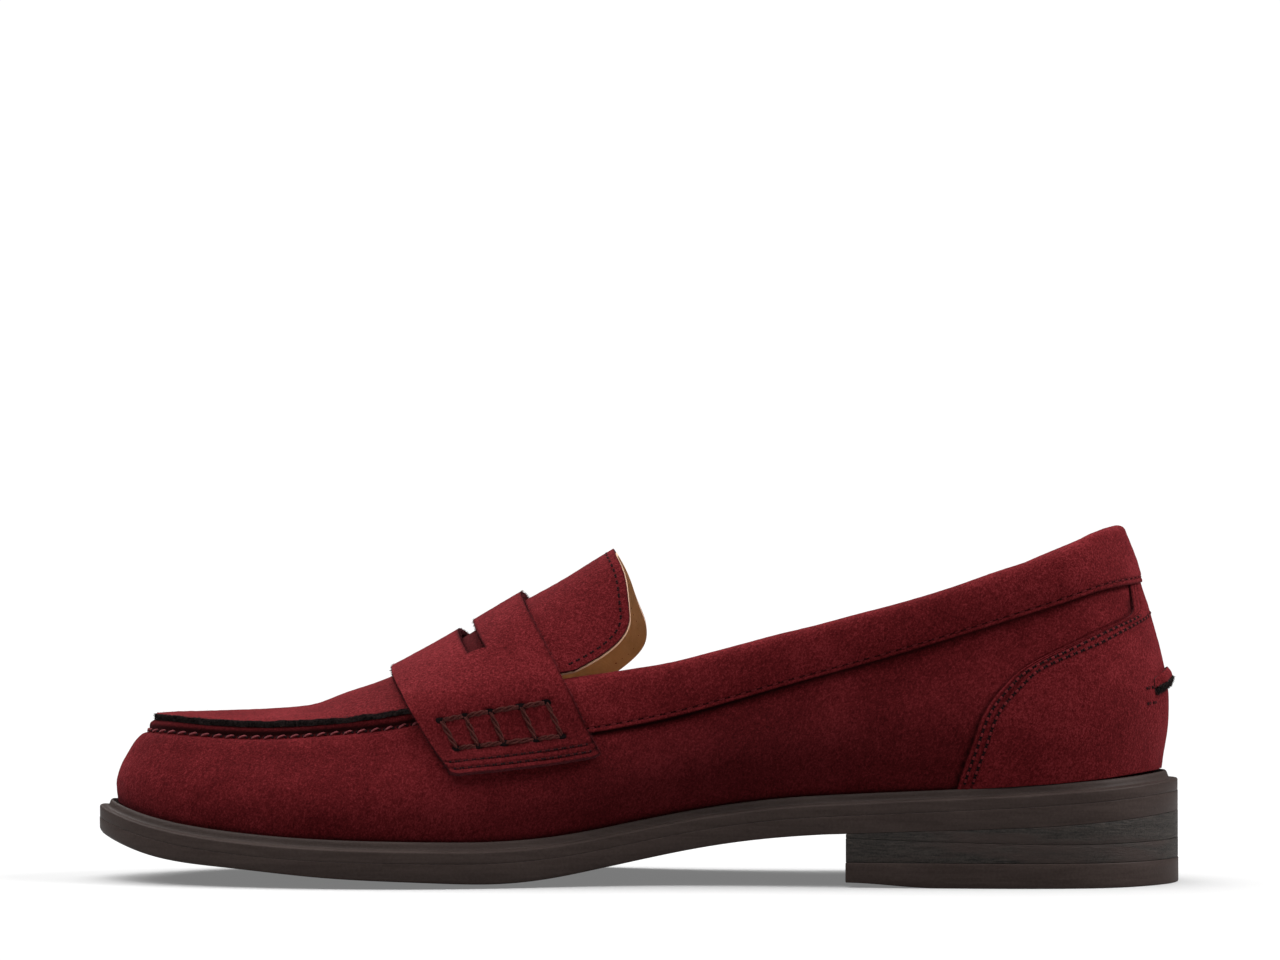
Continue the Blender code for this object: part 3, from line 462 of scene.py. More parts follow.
# ------------------------------------------------------------------------------------ finishes
class Nodes:
    """Short-hand for wiring one material's nodes."""

    def __init__(self, name: str, colour: Triple, roughness: float,
                 metallic: float = 0.0) -> None:
        """Start a Principled material.

        Args:
            name: the material's name.
            colour: its base colour where nothing is wired in.
            roughness: its roughness.
            metallic: its metallic value.
        """
        self.material = bpy.data.materials.new(name)
        self.material.use_nodes = True
        self.tree = self.material.node_tree
        self.shader = self.tree.nodes["Principled BSDF"]
        self.set("Base Color", (*colour, 1))
        self.set("Roughness", roughness)
        self.set("Metallic", metallic)
        self.place = self.tree.nodes.new("ShaderNodeTexCoord").outputs["Object"]

    def set(self, socket: str, value: object) -> None:
        """Set a value on the shader's own socket."""
        self.shader.inputs[socket].default_value = value

    def plug(self, output: Socket, socket: str) -> None:
        """Wire an output into one of the shader's sockets."""
        self.tree.links.new(output, self.shader.inputs[socket])

    def stretched(self, scale: Triple, turn: Triple = (0, 0, 0)) -> Socket:
        """Object coordinates turned, then scaled separately along each axis."""
        node = self.tree.nodes.new("ShaderNodeMapping")
        node.vector_type = "TEXTURE"
        self.tree.links.new(self.place, node.inputs["Vector"])
        node.inputs["Rotation"].default_value = turn
        node.inputs["Scale"].default_value = [1 / value for value in scale]
        return node.outputs["Vector"]

    def noise(self, scale: float, detail: float = 2.0, rough: float = 0.5, twist: float = 0.0,
              source: Optional[Socket] = None) -> Socket:
        """Cloudy values; one cloud is about 1 / scale metres wide."""
        node = self.tree.nodes.new("ShaderNodeTexNoise")
        self.tree.links.new(source or self.place, node.inputs["Vector"])
        for socket, value in (("Scale", scale), ("Detail", detail), ("Roughness", rough),
                              ("Distortion", twist)):
            node.inputs[socket].default_value = value
        return node.outputs["Fac"]

    def ramp(self, source: Socket,
             stops: Sequence[Tuple[float, Triple]]) -> Socket:
        """Colours at given places of a value, with straight runs between."""
        node = self.tree.nodes.new("ShaderNodeValToRGB")
        self.tree.links.new(source, node.inputs["Fac"])
        ramp = node.color_ramp
        while len(ramp.elements) < len(stops):
            ramp.elements.new(0.5)
        for element, (place, colour) in zip(ramp.elements, stops):
            element.position = place
            element.color = (*colour, 1)
        return node.outputs["Color"]

    def maths(self, operation: str, first: object, second: object) -> Socket:
        """A Math node on two sockets or numbers."""
        node = self.tree.nodes.new("ShaderNodeMath")
        node.operation = operation
        for index, value in enumerate((first, second)):
            if isinstance(value, (int, float)):
                node.inputs[index].default_value = value
            else:
                self.tree.links.new(value, node.inputs[index])
        return node.outputs[0]

    def weighted(self, *parts: Tuple[Socket, float]) -> Socket:
        """Sum of sockets, each times its share."""
        scaled = [self.maths("MULTIPLY", socket, share) for socket, share in parts]
        total = scaled[0]
        for part in scaled[1:]:
            total = self.maths("ADD", total, part)
        return total

    def blend(self, share: object, first: object, second: object) -> Socket:
        """Mix two colours by a share, a socket or a number."""
        node = self.tree.nodes.new("ShaderNodeMix")
        node.data_type = "RGBA"
        for socket, value in ((0, share), (6, first), (7, second)):
            if isinstance(value, Socket):
                self.tree.links.new(value, node.inputs[socket])
            elif isinstance(value, tuple):
                node.inputs[socket].default_value = (*value, 1)
            else:
                node.inputs[socket].default_value = value
        return node.outputs[2]

    def attribute(self, name: str) -> Socket:
        """A number kept on the piece's points."""
        node = self.tree.nodes.new("ShaderNodeAttribute")
        node.attribute_name = name
        return node.outputs["Fac"]

    def relief(self, heights: Sequence[Tuple[Socket, float, float]]) -> None:
        """Bumps laid one over another.

        Args:
            heights: height socket, strength, and depth in metres, the coarsest first.
        """
        under = None
        for height, strength, depth in heights:
            node = self.tree.nodes.new("ShaderNodeBump")
            node.inputs["Strength"].default_value = strength
            node.inputs["Distance"].default_value = depth
            self.tree.links.new(height, node.inputs["Height"])
            if under is not None:
                self.tree.links.new(under, node.inputs["Normal"])
            under = node.outputs["Normal"]
        self.plug(under, "Normal")


@dataclass(frozen=True)
class Suede:
    """Napped suede: cloudy brushed patches, short strokes of nap, and a near-black mixed in by a point
    attribute: painted shade, and the black of raw parts.
    """

    name: str
    deep: Triple
    body: Triple
    brushed: Triple
    sheen: float = 0.10

    def make(self) -> Material:
        """Build the material."""
        n = Nodes(self.name, self.body, 0.95)
        n.set("Specular IOR Level", 0.05)
        n.set("Sheen Weight", self.sheen)
        n.set("Sheen Roughness", 0.45)
        n.set("Sheen Tint", (0.80, 0.10, 0.15, 1))
        patches = n.noise(36, 2, 0.5, 0.6)
        clouds = n.noise(240, 3, 0.6, 0.6)
        strokes = n.noise(1, 3, 0.7, 0.8, n.stretched((1900, 1300, 900), (0.2, 0.5, 0.3)))
        nap = n.noise(2000, 2, 0.75, 0.2)
        mixed = n.weighted((patches, 0.18), (clouds, 0.09), (strokes, 0.35), (nap, 0.38))
        shade = n.ramp(mixed, [(0.40, self.deep), (0.50, self.body), (0.60, self.brushed)])
        # The point attribute mixes the colour towards a near-black: painted shade in seams, dents, under
        # edges and low on the wall, and the black of the heel tab's raw half.
        painted_shade_and_dye = n.attribute("painted_shade_and_dye")
        dark = tuple(value * 0.16 for value in self.deep)
        n.plug(n.blend(painted_shade_and_dye, shade, dark), "Base Color")
        n.relief([(clouds, 0.3, 0.0002), (strokes, 0.7, 0.00028), (nap, 0.7, 0.00024)])
        return n.material


@dataclass(frozen=True)
class RawEdge:
    """The cut edge of suede: dyed almost black, matted fibres. Also the near-black of needle and lace
    holes, which is painted shade.
    """

    name: str
    colour: Triple
    fleck: Triple

    def make(self) -> Material:
        """Build the material."""
        n = Nodes(self.name, self.colour, 0.95)
        n.set("Specular IOR Level", 0.1)
        mat = n.noise(1700, 4, 0.7, 0.5)
        n.plug(n.ramp(mat, [(0.38, self.colour), (0.68, self.fleck)]), "Base Color")
        n.relief([(n.noise(650, 3, 0.6), 0.8, 0.0004), (mat, 0.8, 0.0003)])
        return n.material


@dataclass(frozen=True)
class SmoothLeather:
    """Smooth lining leather: pores, faint creases, lighter and darker patches."""

    name: str
    body: Triple
    worn: Triple
    roughness: float = 0.55

    def make(self) -> Material:
        """Build the material."""
        n = Nodes(self.name, self.body, self.roughness)
        n.set("Specular IOR Level", 0.35)
        patches = n.noise(60, 4, 0.6, 0.7)
        n.plug(n.ramp(patches, [(0.35, self.worn), (0.62, self.body)]), "Base Color")
        pores = n.noise(1300, 2, 0.5)
        creases = n.noise(1, 4, 0.6, 1.2, n.stretched((170, 420, 260), (0.3, 0.1, 0.8)))
        n.plug(n.maths("ADD", n.weighted((pores, 0.3)), self.roughness - 0.15), "Roughness")
        n.relief([(creases, 0.35, 0.0004), (pores, 0.25, 0.0001)])
        return n.material


@dataclass(frozen=True)
class SoleRubber:
    """Moulded sole: satin dark brown with faint mould texture and scuffs."""

    name: str
    body: Triple
    scuffed: Triple
    roughness: float = 0.5

    def make(self) -> Material:
        """Build the material."""
        n = Nodes(self.name, self.body, self.roughness)
        n.set("Specular IOR Level", 0.08)
        along = n.noise(1, 3, 0.6, 0.3, n.stretched((55, 55, 700)))
        fine = n.noise(1500, 3, 0.6)
        tone = n.weighted((along, 0.6), (fine, 0.4))
        n.plug(n.ramp(tone, [(0.38, self.body), (0.66, self.scuffed)]), "Base Color")
        n.plug(n.maths("ADD", n.weighted((along, 0.25)), self.roughness - 0.1), "Roughness")
        n.relief([(along, 0.25, 0.0003), (fine, 0.3, 0.00012)])
        return n.material


@dataclass(frozen=True)
class StackedGrain:
    """Heel layers made to look like stacked leather: wavy level grain, brown patches between."""

    name: str
    body: Triple
    streak: Triple
    smooth: Triple

    def make(self) -> Material:
        """Build the material."""
        n = Nodes(self.name, self.body, 0.6)
        n.set("Specular IOR Level", 0.14)
        grain = n.noise(1, 4, 0.65, 0.9, n.stretched((170, 170, 1500)))
        coarse = n.noise(1, 3, 0.6, 0.5, n.stretched((90, 90, 520)))
        speck = n.noise(1900, 3, 0.7)
        tone = n.weighted((grain, 0.6), (speck, 0.4))
        grained = n.ramp(tone, [(0.38, self.body), (0.62, self.streak)])
        patches = n.noise(1, 2, 0.5, 0.4, n.stretched((38, 38, 190)))
        share = n.ramp(patches, [(0.46, (0.0, 0.0, 0.0)), (0.60, (0.8, 0.8, 0.8))])
        n.plug(n.blend(share, grained, self.smooth), "Base Color")
        n.relief([(coarse, 0.4, 0.0004), (grain, 0.6, 0.0005), (speck, 0.4, 0.0002)])
        return n.material


@dataclass(frozen=True)
class TwistedThread:
    """Waxed or sewing thread: slanted strands along the piece's own run, their lighter colour partly a
    painted highlight.
    """

    name: str
    dark: Triple
    strand_highlight: Triple
    strands: float
    roughness: float = 0.85

    def make(self) -> Material:
        """Build the material."""
        n = Nodes(self.name, self.dark, self.roughness)
        n.set("Specular IOR Level", 0.04)
        run = n.tree.nodes.new("ShaderNodeTexCoord").outputs["UV"]
        wave = n.tree.nodes.new("ShaderNodeTexWave")
        wave.bands_direction = "DIAGONAL"
        n.tree.links.new(run, wave.inputs["Vector"])
        wave.inputs["Scale"].default_value = self.strands
        wave.inputs["Distortion"].default_value = 1.2
        wave.inputs["Detail"].default_value = 2
        strand = wave.outputs["Fac"]
        fuzz = n.noise(1400, 3, 0.6)
        tone = n.weighted((strand, 0.5), (fuzz, 0.5))
        # The lighter colour is partly a painted highlight along the strands, partly random fuzz tone.
        n.plug(n.ramp(tone, [(0.25, self.dark), (0.75, self.strand_highlight)]), "Base Color")
        n.relief([(strand, 0.7, 0.0002), (fuzz, 0.3, 0.0001)])
        return n.material


@dataclass(frozen=True)
class Pressed:
    """Foam, cork, board, fibre and nail steel: speckled, for the pieces inside."""

    name: str
    body: Triple
    speck: Triple
    grain: float
    roughness: float
    metallic: float = 0.0

    def make(self) -> Material:
        """Build the material."""
        n = Nodes(self.name, self.body, self.roughness, self.metallic)
        grain = n.noise(self.grain, 4, 0.6, 0.3)
        n.plug(n.ramp(grain, [(0.4, self.body), (0.65, self.speck)]), "Base Color")
        n.relief([(grain, 0.4, 0.0003)])
        return n.material


class Finish(Enum):
    """Every finish on the shoe."""

    SUEDE = Suede("burgundy_suede", (0.050, 0.0029, 0.0038), (0.100, 0.0076, 0.0094),
                  (0.172, 0.0175, 0.0215))
    RAW = RawEdge("raw_suede_edge", (0.0085, 0.0062, 0.0062), (0.048, 0.034, 0.033))
    RAW_RED = RawEdge("raw_burgundy_edge", (0.030, 0.0045, 0.0060), (0.10, 0.014, 0.018))
    LINING = SmoothLeather("tan_lining_leather", (0.62, 0.405, 0.235), (0.50, 0.32, 0.175))
    LINING_EDGE = SmoothLeather("pale_lining_edge", (0.78, 0.52, 0.38), (0.64, 0.40, 0.28))
    SOLE = SoleRubber("brown_sole_rubber", (0.037, 0.0255, 0.0225), (0.056, 0.0400, 0.0355))
    STACK = StackedGrain("stacked_heel_grain", (0.0150, 0.0135, 0.0125), (0.052, 0.043, 0.038),
                         (0.045, 0.031, 0.0275))
    # The second colour of each thread is partly its painted strand highlight.
    CORD = TwistedThread("waxed_brown_cord", (0.026, 0.0062, 0.0056), (0.15, 0.042, 0.037), 2.0)
    STITCH = TwistedThread("maroon_thread", (0.10, 0.008, 0.010), (0.26, 0.036, 0.042), 1.6)
    LIGHT_STITCH = TwistedThread("pale_maroon_thread", (0.17, 0.030, 0.036), (0.42, 0.12, 0.13), 1.6)
    DARK_STITCH = TwistedThread("dark_thread", (0.040, 0.0040, 0.0050), (0.12, 0.0165, 0.019), 1.6)
    # Near-black lentils at needle holes and lace holes: painted shade of the holes.
    HOLE_SHADE = RawEdge("needle_hole_shade", (0.0070, 0.0016, 0.0019), (0.016, 0.0040, 0.0048))
    PIT_SHADE = RawEdge("lace_hole_shade", (0.0030, 0.0012, 0.0014), (0.0070, 0.0025, 0.0030))
    FOAM = Pressed("cream_foam", (0.70, 0.66, 0.55), (0.60, 0.56, 0.46), 900, 0.95)
    CORK = Pressed("cork_filler", (0.35, 0.20, 0.10), (0.20, 0.11, 0.05), 420, 0.95)
    BOARD = Pressed("insole_board", (0.30, 0.22, 0.13), (0.24, 0.17, 0.10), 700, 0.9)
    FIBRE = Pressed("stiffener_fibre", (0.62, 0.60, 0.55), (0.50, 0.48, 0.43), 600, 0.85)
    STEEL = Pressed("shank_steel", (0.55, 0.56, 0.58), (0.48, 0.49, 0.51), 300, 0.35, 1.0)


class Wardrobe:
    """Makes each finish once."""

    def __init__(self) -> None:
        """Start empty."""
        self.made = {}

    def __call__(self, finish: Finish) -> Material:
        """The material of a finish."""
        if finish not in self.made:
            self.made[finish] = finish.value.make()
        return self.made[finish]


def suede_piece(name: str, outer: Array, thickness: float, wear: Wardrobe, painted_shade_and_dye: Array,
                rim: Finish = Finish.RAW_RED, round_edge: float = 0.2,
                keep: Optional[Array] = None) -> Piece:
    """A suede sheet with a raw cut edge, darkened where the point attribute is over nought: painted
    shade, and the black of raw parts.
    """
    piece = sheet_piece(name, outer, thickness, [wear(Finish.SUEDE), wear(rim)], 1, round_edge, keep)
    used = np.unique(grid_quads(*outer.shape[:2], keep=keep))
    shade = np.broadcast_to(np.clip(painted_shade_and_dye, 0, 1), outer.shape[:2]).reshape(-1)[used]
    # Point attribute of painted shade, and of the black of raw parts, that the suede's colour is mixed
    # by.
    layer = piece.data.attributes.new("painted_shade_and_dye", "FLOAT", "POINT")
    layer.data.foreach_set("value", shade.astype(np.float32))
    return piece


# ----------------------------------------------------------------------- thread, cord and fibres
def along_path(path: Array, distance: Array) -> Array:
    """Points at given distances along a polyline, in the polyline's own unit."""
    run = np.concatenate([[0], np.cumsum(np.linalg.norm(np.diff(path, axis=0), axis=1))])
    return np.stack([np.interp(distance, run, path[:, axis]) for axis in range(path.shape[1])], -1)


def path_length(path: Array) -> float:
    """Length of a polyline."""
    return float(np.linalg.norm(np.diff(path, axis=0), axis=1).sum())


def tubes(centre: Array, out: Array, thick: Array, wide: Array, sides: int) -> Tuple[Array, List, Array]:
    """Tubes along many short lines at once, with closed ends.

    Each ring is an ellipse: thick times the cosine along the outward direction plus wide times the
    sine across the line.

    Args:
        centre: tubes, rings, xyz.
        out: the outward direction at each ring.
        thick: half thickness at each ring.
        wide: half width at each ring.
        sides: points in a ring.

    Returns:
        Points, faces, and the run of each point (along, round).
    """
    count, rings = centre.shape[:2]
    forward = np.gradient(centre, axis=1)
    across = np.cross(forward, out)
    across /= np.maximum(np.linalg.norm(across, axis=-1, keepdims=True), 1e-9)
    angle = np.arange(sides) / sides * 2 * math.pi
    ring = (centre[:, :, None] + out[:, :, None] * (thick[..., None] * np.cos(angle))[..., None]
            + across[:, :, None] * (wide[..., None] * np.sin(angle))[..., None])
    quads = grid_quads(rings, sides, wrap=True)
    faces = (quads[None] + (np.arange(count) * rings * sides)[:, None, None]).reshape(-1, 4).tolist()
    base = np.arange(count) * rings * sides
    near = base[:, None] + np.arange(sides)[::-1]
    far = base[:, None] + (rings - 1) * sides + np.arange(sides)
    along = np.cumsum(np.linalg.norm(np.diff(centre, axis=1, prepend=centre[:, :1]), axis=-1), 1)
    run = np.stack(np.broadcast_arrays(along[..., None], np.arange(sides) / sides * 2), -1)
    return ring.reshape(-1, 3), faces + near.tolist() + far.tolist(), run.reshape(-1, 2)


@dataclass(frozen=True)
class StitchRow:
    """A row of separate stitches along a line on a surface.

    Each stitch is an arc: it comes out of one hole, rises over the leather and goes into the next.
    """

    pitch: float = 3.0
    visible: float = 2.1
    radius: float = 0.28
    rise: float = 0.30
    slant: float = 0.0
    holes: float = 0.0
    rings: int = 7
    sides: int = 6

    def centres(self, path: Array) -> Array:
        """Distance along the path of each stitch's middle."""
        count = max(int(path_length(path) / self.pitch), 1)
        return (np.arange(count) + 0.5) * path_length(path) / count

    def on_path(self, path: Array, out: Array, shares: Array) -> Tuple[Array, Array]:
        """Points and unit normals at shares of every stitch's visible length."""
        where = self.centres(path)[:, None] + shares * self.visible
        both = along_path(np.concatenate([path, out * 1e-6], 1), where)
        return both[..., :3], unit(both[..., 3:] * 1e6)

    def build(self, name: str, path: Array, out: Array, dress: Material) -> Piece:
        """Sew along a path.

        Args:
            name: the piece's name.
            path: points on the surface.
            out: outward normal at each of them.
            dress: the thread.

        Returns:
            One mesh with all the stitches.
        """
        u = np.linspace(-0.5, 0.5, self.rings)
        point, normal = self.on_path(path, out, u)
        across = unit(np.cross(np.gradient(point, axis=1), normal))
        arch = self.rise * (1 - (2 * np.abs(u)) ** 3) - self.radius * 0.6
        centre = point + normal * arch[None, :, None] + across * (u * self.slant)[None, :, None]
        taper = self.radius * np.sqrt(np.clip(1.04 - (2 * np.abs(u)) ** 4, 0.05, 1))
        radius = np.broadcast_to(taper, centre.shape[:2])
        points, faces, run = tubes(centre, normal, radius * 0.85, radius, self.sides)
        return link_mesh(name, points, faces, [dress], uv=run)

    def pierce(self, name: str, path: Array, out: Array, dress: Material) -> Piece:
        """The needle holes at both ends of each stitch: small closed lentils in the surface, their
        near-black a painted shade of the holes.
        """
        ends = self.on_path(path, out, np.array([-0.5, 0.5]))
        point, normal = (found.reshape(-1, 3) for found in ends)
        offsets = np.linspace(-1, 1, 5)
        centre = point[:, None] + normal[:, None] * (offsets * 0.10)[None, :, None]
        across = unit(np.cross(normal, np.array([0.31, 0.11, 0.94])))
        size = self.holes * np.sqrt(np.clip(1.02 - offsets ** 2, 0.02, 1))
        radius = np.broadcast_to(size, centre.shape[:2])
        sideways = np.broadcast_to(across[:, None], centre.shape)
        points, faces, _ = tubes(centre, sideways, radius, radius, 6)
        return link_mesh(name, points, faces, [dress])

    def sew(self, name: str, path: Array, out: Array, wear: Wardrobe, thread: Finish,
            *nodes: str, holes: str = "") -> None:
        """The stitches and their needle holes, both riding on the shoe."""
        set_piece(self.build(name, path, out, wear(thread)), "sewing_thread", *nodes)
        set_piece(self.pierce(holes or name + "_holes", path, out, wear(Finish.HOLE_SHADE)), "suede")


def fibres(name: str, roots: Array, aim: Array, length: float, width: float, seed: int,
           dress: Material) -> Piece:
    """Loose fibres standing out of a cut edge: thin three-sided spikes, bent by chance.

    Args:
        name: the piece's name.
        roots: a point for each fibre.
        aim: the direction each would point without scatter.
        length: millimetres, the longest.
        width: millimetres at the root.
        seed: seed of the scatter.
        dress: the material.

    Returns:
        One mesh of closed spikes.
    """
    draw = np.random.default_rng(seed)
    count = len(roots)
    tilt = unit(aim + draw.normal(scale=0.55, size=(count, 3)))
    side = unit(np.cross(tilt, draw.normal(size=(count, 3))))
    other = np.cross(tilt, side)
    reach = length * draw.uniform(0.35, 1.0, (count, 1))
    angle = np.array([0, 2, 4]) * math.pi / 3
    base = (roots[:, None] - tilt[:, None] * 0.1
            + width / 2 * (side[:, None] * np.cos(angle)[None, :, None]
                           + other[:, None] * np.sin(angle)[None, :, None]))
    tip = roots + tilt * reach
    points = np.concatenate([base, tip[:, None]], 1)
    faces = np.array([[0, 1, 3], [1, 2, 3], [2, 0, 3], [2, 1, 0]])
    faces = (faces[None] + (np.arange(count) * 4)[:, None, None]).reshape(-1, 3)
    return link_mesh(name, points, faces, [dress])


# ---------------------------------------------------------------------------------- sole unit
@dataclass
class Plan:
    """A closed loop in plan, its outward normals, and the point each one shrinks to."""

    points: Array
    normals: Array
    core: Array

    def ring(self, inset: Array, share: float, height: Callable[[Array, Array], Array]) -> Array:
        """The loop drawn in by inset, then moved by share towards its core, at a height over it."""
        plan = self.points - self.normals * np.asarray(inset, float)[..., None]
        plan = plan * (1 - share) + self.core * share
        return np.column_stack([plan, height(plan[:, 0], plan[:, 1])])


def ring_solid(name: str, rings: Sequence[Array], dress: Sequence[Material],
               loop: bool = False) -> Piece:
    """A closed body from rings, from the middle of its underside round to the middle of its top.

    Args:
        name: the piece's name.
        rings: rings of points, each as long as the others.
        dress: its materials.
        loop: join the last ring to the first, for a body with a hole through it.

    Returns:
        The piece, faces outwards.
    """
    grid = np.stack(list(rings) + ([rings[0]] if loop else []))
    rows, columns = grid.shape[:2]
    run = np.stack(np.meshgrid(np.arange(rows), np.arange(columns), indexing="ij"), -1) * 1.0
    return link_mesh(name, grid, grid_quads(rows, columns, wrap=True), dress, close=True, uv=run)


@dataclass
class SoleUnit:
    """Outsole, welt with its lip, stacked heel and everything inside them."""

    last: Last
    wear: Wardrobe
    stations: int = 250
    welt_thick: float = 3.0
    ball_crown: float = 1.3
    breast: float = 53.0
    top_lift: float = 6.2
    rocker: float = 1.2
    rib_pitch: float = 3.2
    rib_depth: float = 0.5
    lift_joint: Pairs = ((52, 12.2), (74, 11.5), (90, 11.1), (107, 10.8), (136, 11.2))
    welt_section: Pairs = (
        (0.30, -2.98), (0.13, -2.97), (0.08, -2.90), (0.06, -2.3), (0.05, -1.3), (0.05, -0.5),
        (0.11, -0.22), (0.26, -0.05), (0.5, 0.02), (1.0, 0.05), (1.6, 0.10), (2.05, 0.24),
        (2.35, 0.58), (2.55, 1.1), (2.72, 1.6), (2.92, 1.98), (3.18, 2.20), (3.4, 2.22),
        (3.55, 2.05), (3.55, 0.25), (9.4, 0.0), (9.4, -2.65))

    def sole_plan(self) -> Plan:
        """Whole outline, in pairs of points at the same x on both sides, shrinking to a spine."""
        share = 0.5 - 0.5 * np.cos(np.linspace(0, math.pi, self.stations))
        dense = np.linspace(0, self.last.outline.count, 20001)[:-1]
        plan = self.last.outline.at(dense)
        toe, heel = int(plan[:, 0].argmin()), int(plan[:, 0].argmax())
        x = plan[toe, 0] + (plan[heel, 0] - plan[toe, 0]) * share
        if heel > toe:
            heel -= len(dense)
        outer_t = dense[np.arange(heel, toe + 1) % len(dense)]
        outer_t = np.where(outer_t > self.last.outline.count - 5, outer_t - self.last.outline.count,
                           outer_t)
        inner_t = dense[np.arange(toe, heel + len(dense) + 1) % len(dense)]
        inner_t = np.where(inner_t < 5, inner_t + self.last.outline.count, inner_t)
        outer = np.interp(x[::-1], self.last.outline.at(outer_t)[::-1, 0], outer_t[::-1])
        inner = np.interp(x[1:-1], self.last.outline.at(inner_t)[:, 0], inner_t)
        t = np.concatenate([outer, inner])
        points = self.last.outline.at(t)
        sides = self.last.outline.at(outer)[::-1, 1], self.last.outline.at(
            np.concatenate([outer[-1:], inner, outer[:1]]))[:, 1]
        middle = (sides[0] + sides[1]) / 2
        spine_x = np.clip(x, x[0] + 24, x[-1] - 24)
        spine = np.column_stack([spine_x, np.interp(spine_x, x, middle)])
        core = np.concatenate([spine[::-1], spine[1:-1]])
        return Plan(points, self.last.outline.normal(t), core)

    def heel_plan(self) -> Plan:
        """The outline behind the breast, closed by the straight breast, shrinking to one point."""
        dense = np.linspace(-8, 8, 1601)
        plan = self.last.outline.at(dense)
        run = dense[plan[:, 0] > self.breast]
        t = np.linspace(run[0], run[-1], 220)
        points, normals = self.last.outline.at(t), self.last.outline.normal(t)
        across = np.linspace(0, 1, 60)[1:-1, None]
        front = points[-1:] * (1 - across) + points[:1] * across
        front[:, 0] = self.breast + 1.2 * (1 - (2 * across[:, 0] - 1) ** 2)
        ahead = np.broadcast_to([-1.0, 0.0], front.shape)
        corner = 0.7
        normals = normals.copy()
        normals[[0, -1]] = normals[[0, -1]] * corner + np.array([-corner, 0])
        core = np.broadcast_to([95.0, 0.8], (len(points) + len(front), 2))
        return Plan(np.concatenate([points, front]), np.concatenate([normals, ahead]), core)

    def underside(self, x: Array, y: Array) -> Array:
        """Bottom of the outsole: hangs lower in the middle of the forepart than at its edge."""
        rise = np.clip(1 - (y / 46.0) ** 2, 0, 1)
        return self.last.sole_bottom(x) - self.ball_crown * rise * (1 - smoothstep(x, -35, -5))

    def tread(self, x: Array, y: Array) -> Array:
        """Ribs cut across the forepart: a squared-off cosine, fading out near the edge and waist."""
        rib = np.cos((x + 0.12 * y ** 2 / 10) * 2 * math.pi / self.rib_pitch)
        cut = self.rib_depth * smoothstep(rib, -0.2, 0.5)
        return self.underside(x, y) + cut * (1 - smoothstep(x, -32, -26)) * smoothstep(x, -118, -110)

    def build_outsole(self) -> None:
        """Outsole from its tread round its edge to the joint with the welt."""
        plan = self.sole_plan()
        low, edge = self.underside, self.last.sole_edge
        def above(rise: Array) -> Callable[[Array, Array], Array]:
            """A height above the underside."""
            return lambda x, y: low(x, y) + rise
        def below(drop: float) -> Callable[[Array, Array], Array]:
            """A height below the top edge of the sole."""
            return lambda x, y: edge(x) - drop
        inner = [plan.ring(7.0, share, self.tread) for share in np.linspace(1, 0, 46)]
        rings = inner + [plan.ring(6.6, 0, low)]
        square = 1 - 0.85 * smoothstep(plan.points[:, 0], self.breast - 6, self.breast)
        for inset, rise in ((4.0, 0.0), (2.2, 0.0), (1.2, 0.04), (0.6, 0.22), (0.22, 0.6), (0.04, 1.1)):
            rings.append(plan.ring(inset * square, 0, above(rise * square)))
        top = self.welt_thick
        for inset, drop in ((0.0, top + 0.9), (0.0, top + 0.16), (0.02, top + 0.07), (0.09, top + 0.01),
                            (0.5, top)):
            rings.append(plan.ring(inset, 0, below(drop)))
        rings += [plan.ring(9.4, share, below(top)) for share in (0, 0.5, 1)]
        piece = ring_solid("outsole_moulding", rings, [self.wear(Finish.SOLE)])
        set_piece(piece, "rubber", "outsole")

    def build_welt(self) -> None:
        """Welt: its section, points inset from the outline at a rise over the edge, carried round."""
        plan = self.sole_plan()
        rings = [plan.ring(inset, 0, lambda x, y, rise=rise: self.last.sole_edge(x) + rise)
                 for inset, rise in self.welt_section]
        piece = ring_solid("welt_band", rings, [self.wear(Finish.SOLE)], loop=True)
        set_piece(piece, "rubber", "welt")

    def heel_layer(self, name: str, low: Callable[[Array], Array], high: Callable[[Array], Array],
                   finish: Finish, proud: float, slot: str, node: str, fold: float = 0.12) -> None:
        """One layer of the heel, its edges rounded by fold, standing out by proud."""
        plan = self.heel_plan()
        rings = [plan.ring(3.0, share, lambda x, y: low(x)) for share in np.linspace(1, 0, 9)]
        for inset, rise in ((fold, 0.0), (fold * 0.3, fold * 0.3), (0.0, fold)):
            rings.append(plan.ring(inset - proud, 0, lambda x, y, rise=rise: low(x) + rise))
        for share in (0.25, 0.5, 0.75):
            rings.append(plan.ring(-proud, 0, lambda x, y, share=share:
                                   low(x) * (1 - share) + high(x) * share))
        for inset, drop in ((0.0, fold), (fold * 0.3, fold * 0.3), (fold, 0.0)):
            rings.append(plan.ring(inset - proud, 0, lambda x, y, drop=drop: high(x) - drop))
        rings += [plan.ring(3.0, share, lambda x, y: high(x)) for share in (0, 0.5, 1)]
        set_piece(ring_solid(name, rings, [self.wear(finish)]), slot, node)

    def build_heel(self) -> None:
        """Two grained layers and the top lift."""
        joint, bottom = Profile(self.lift_joint), self.last.sole_bottom
        self.heel_layer("stacked_layer_upper", lambda x: joint(x) + 0.04, lambda x: bottom(x) - 0.05,
                        Finish.STACK, 0.02, "stacked_heel", "heel_lift_upper")
        self.heel_layer("stacked_layer_lower", lambda x: np.full(np.shape(x), self.top_lift + 0.05),
                        lambda x: joint(x) - 0.04, Finish.STACK, 0.05, "stacked_heel",
                        "heel_lift_lower")
        self.heel_layer("top_lift_rubber",
                        lambda x: self.rocker * (1 - smoothstep(x, self.breast, 76)),
                        lambda x: np.full(np.shape(x), self.top_lift), Finish.SOLE, 0.15, "rubber",
                        "top_lift", fold=0.3)

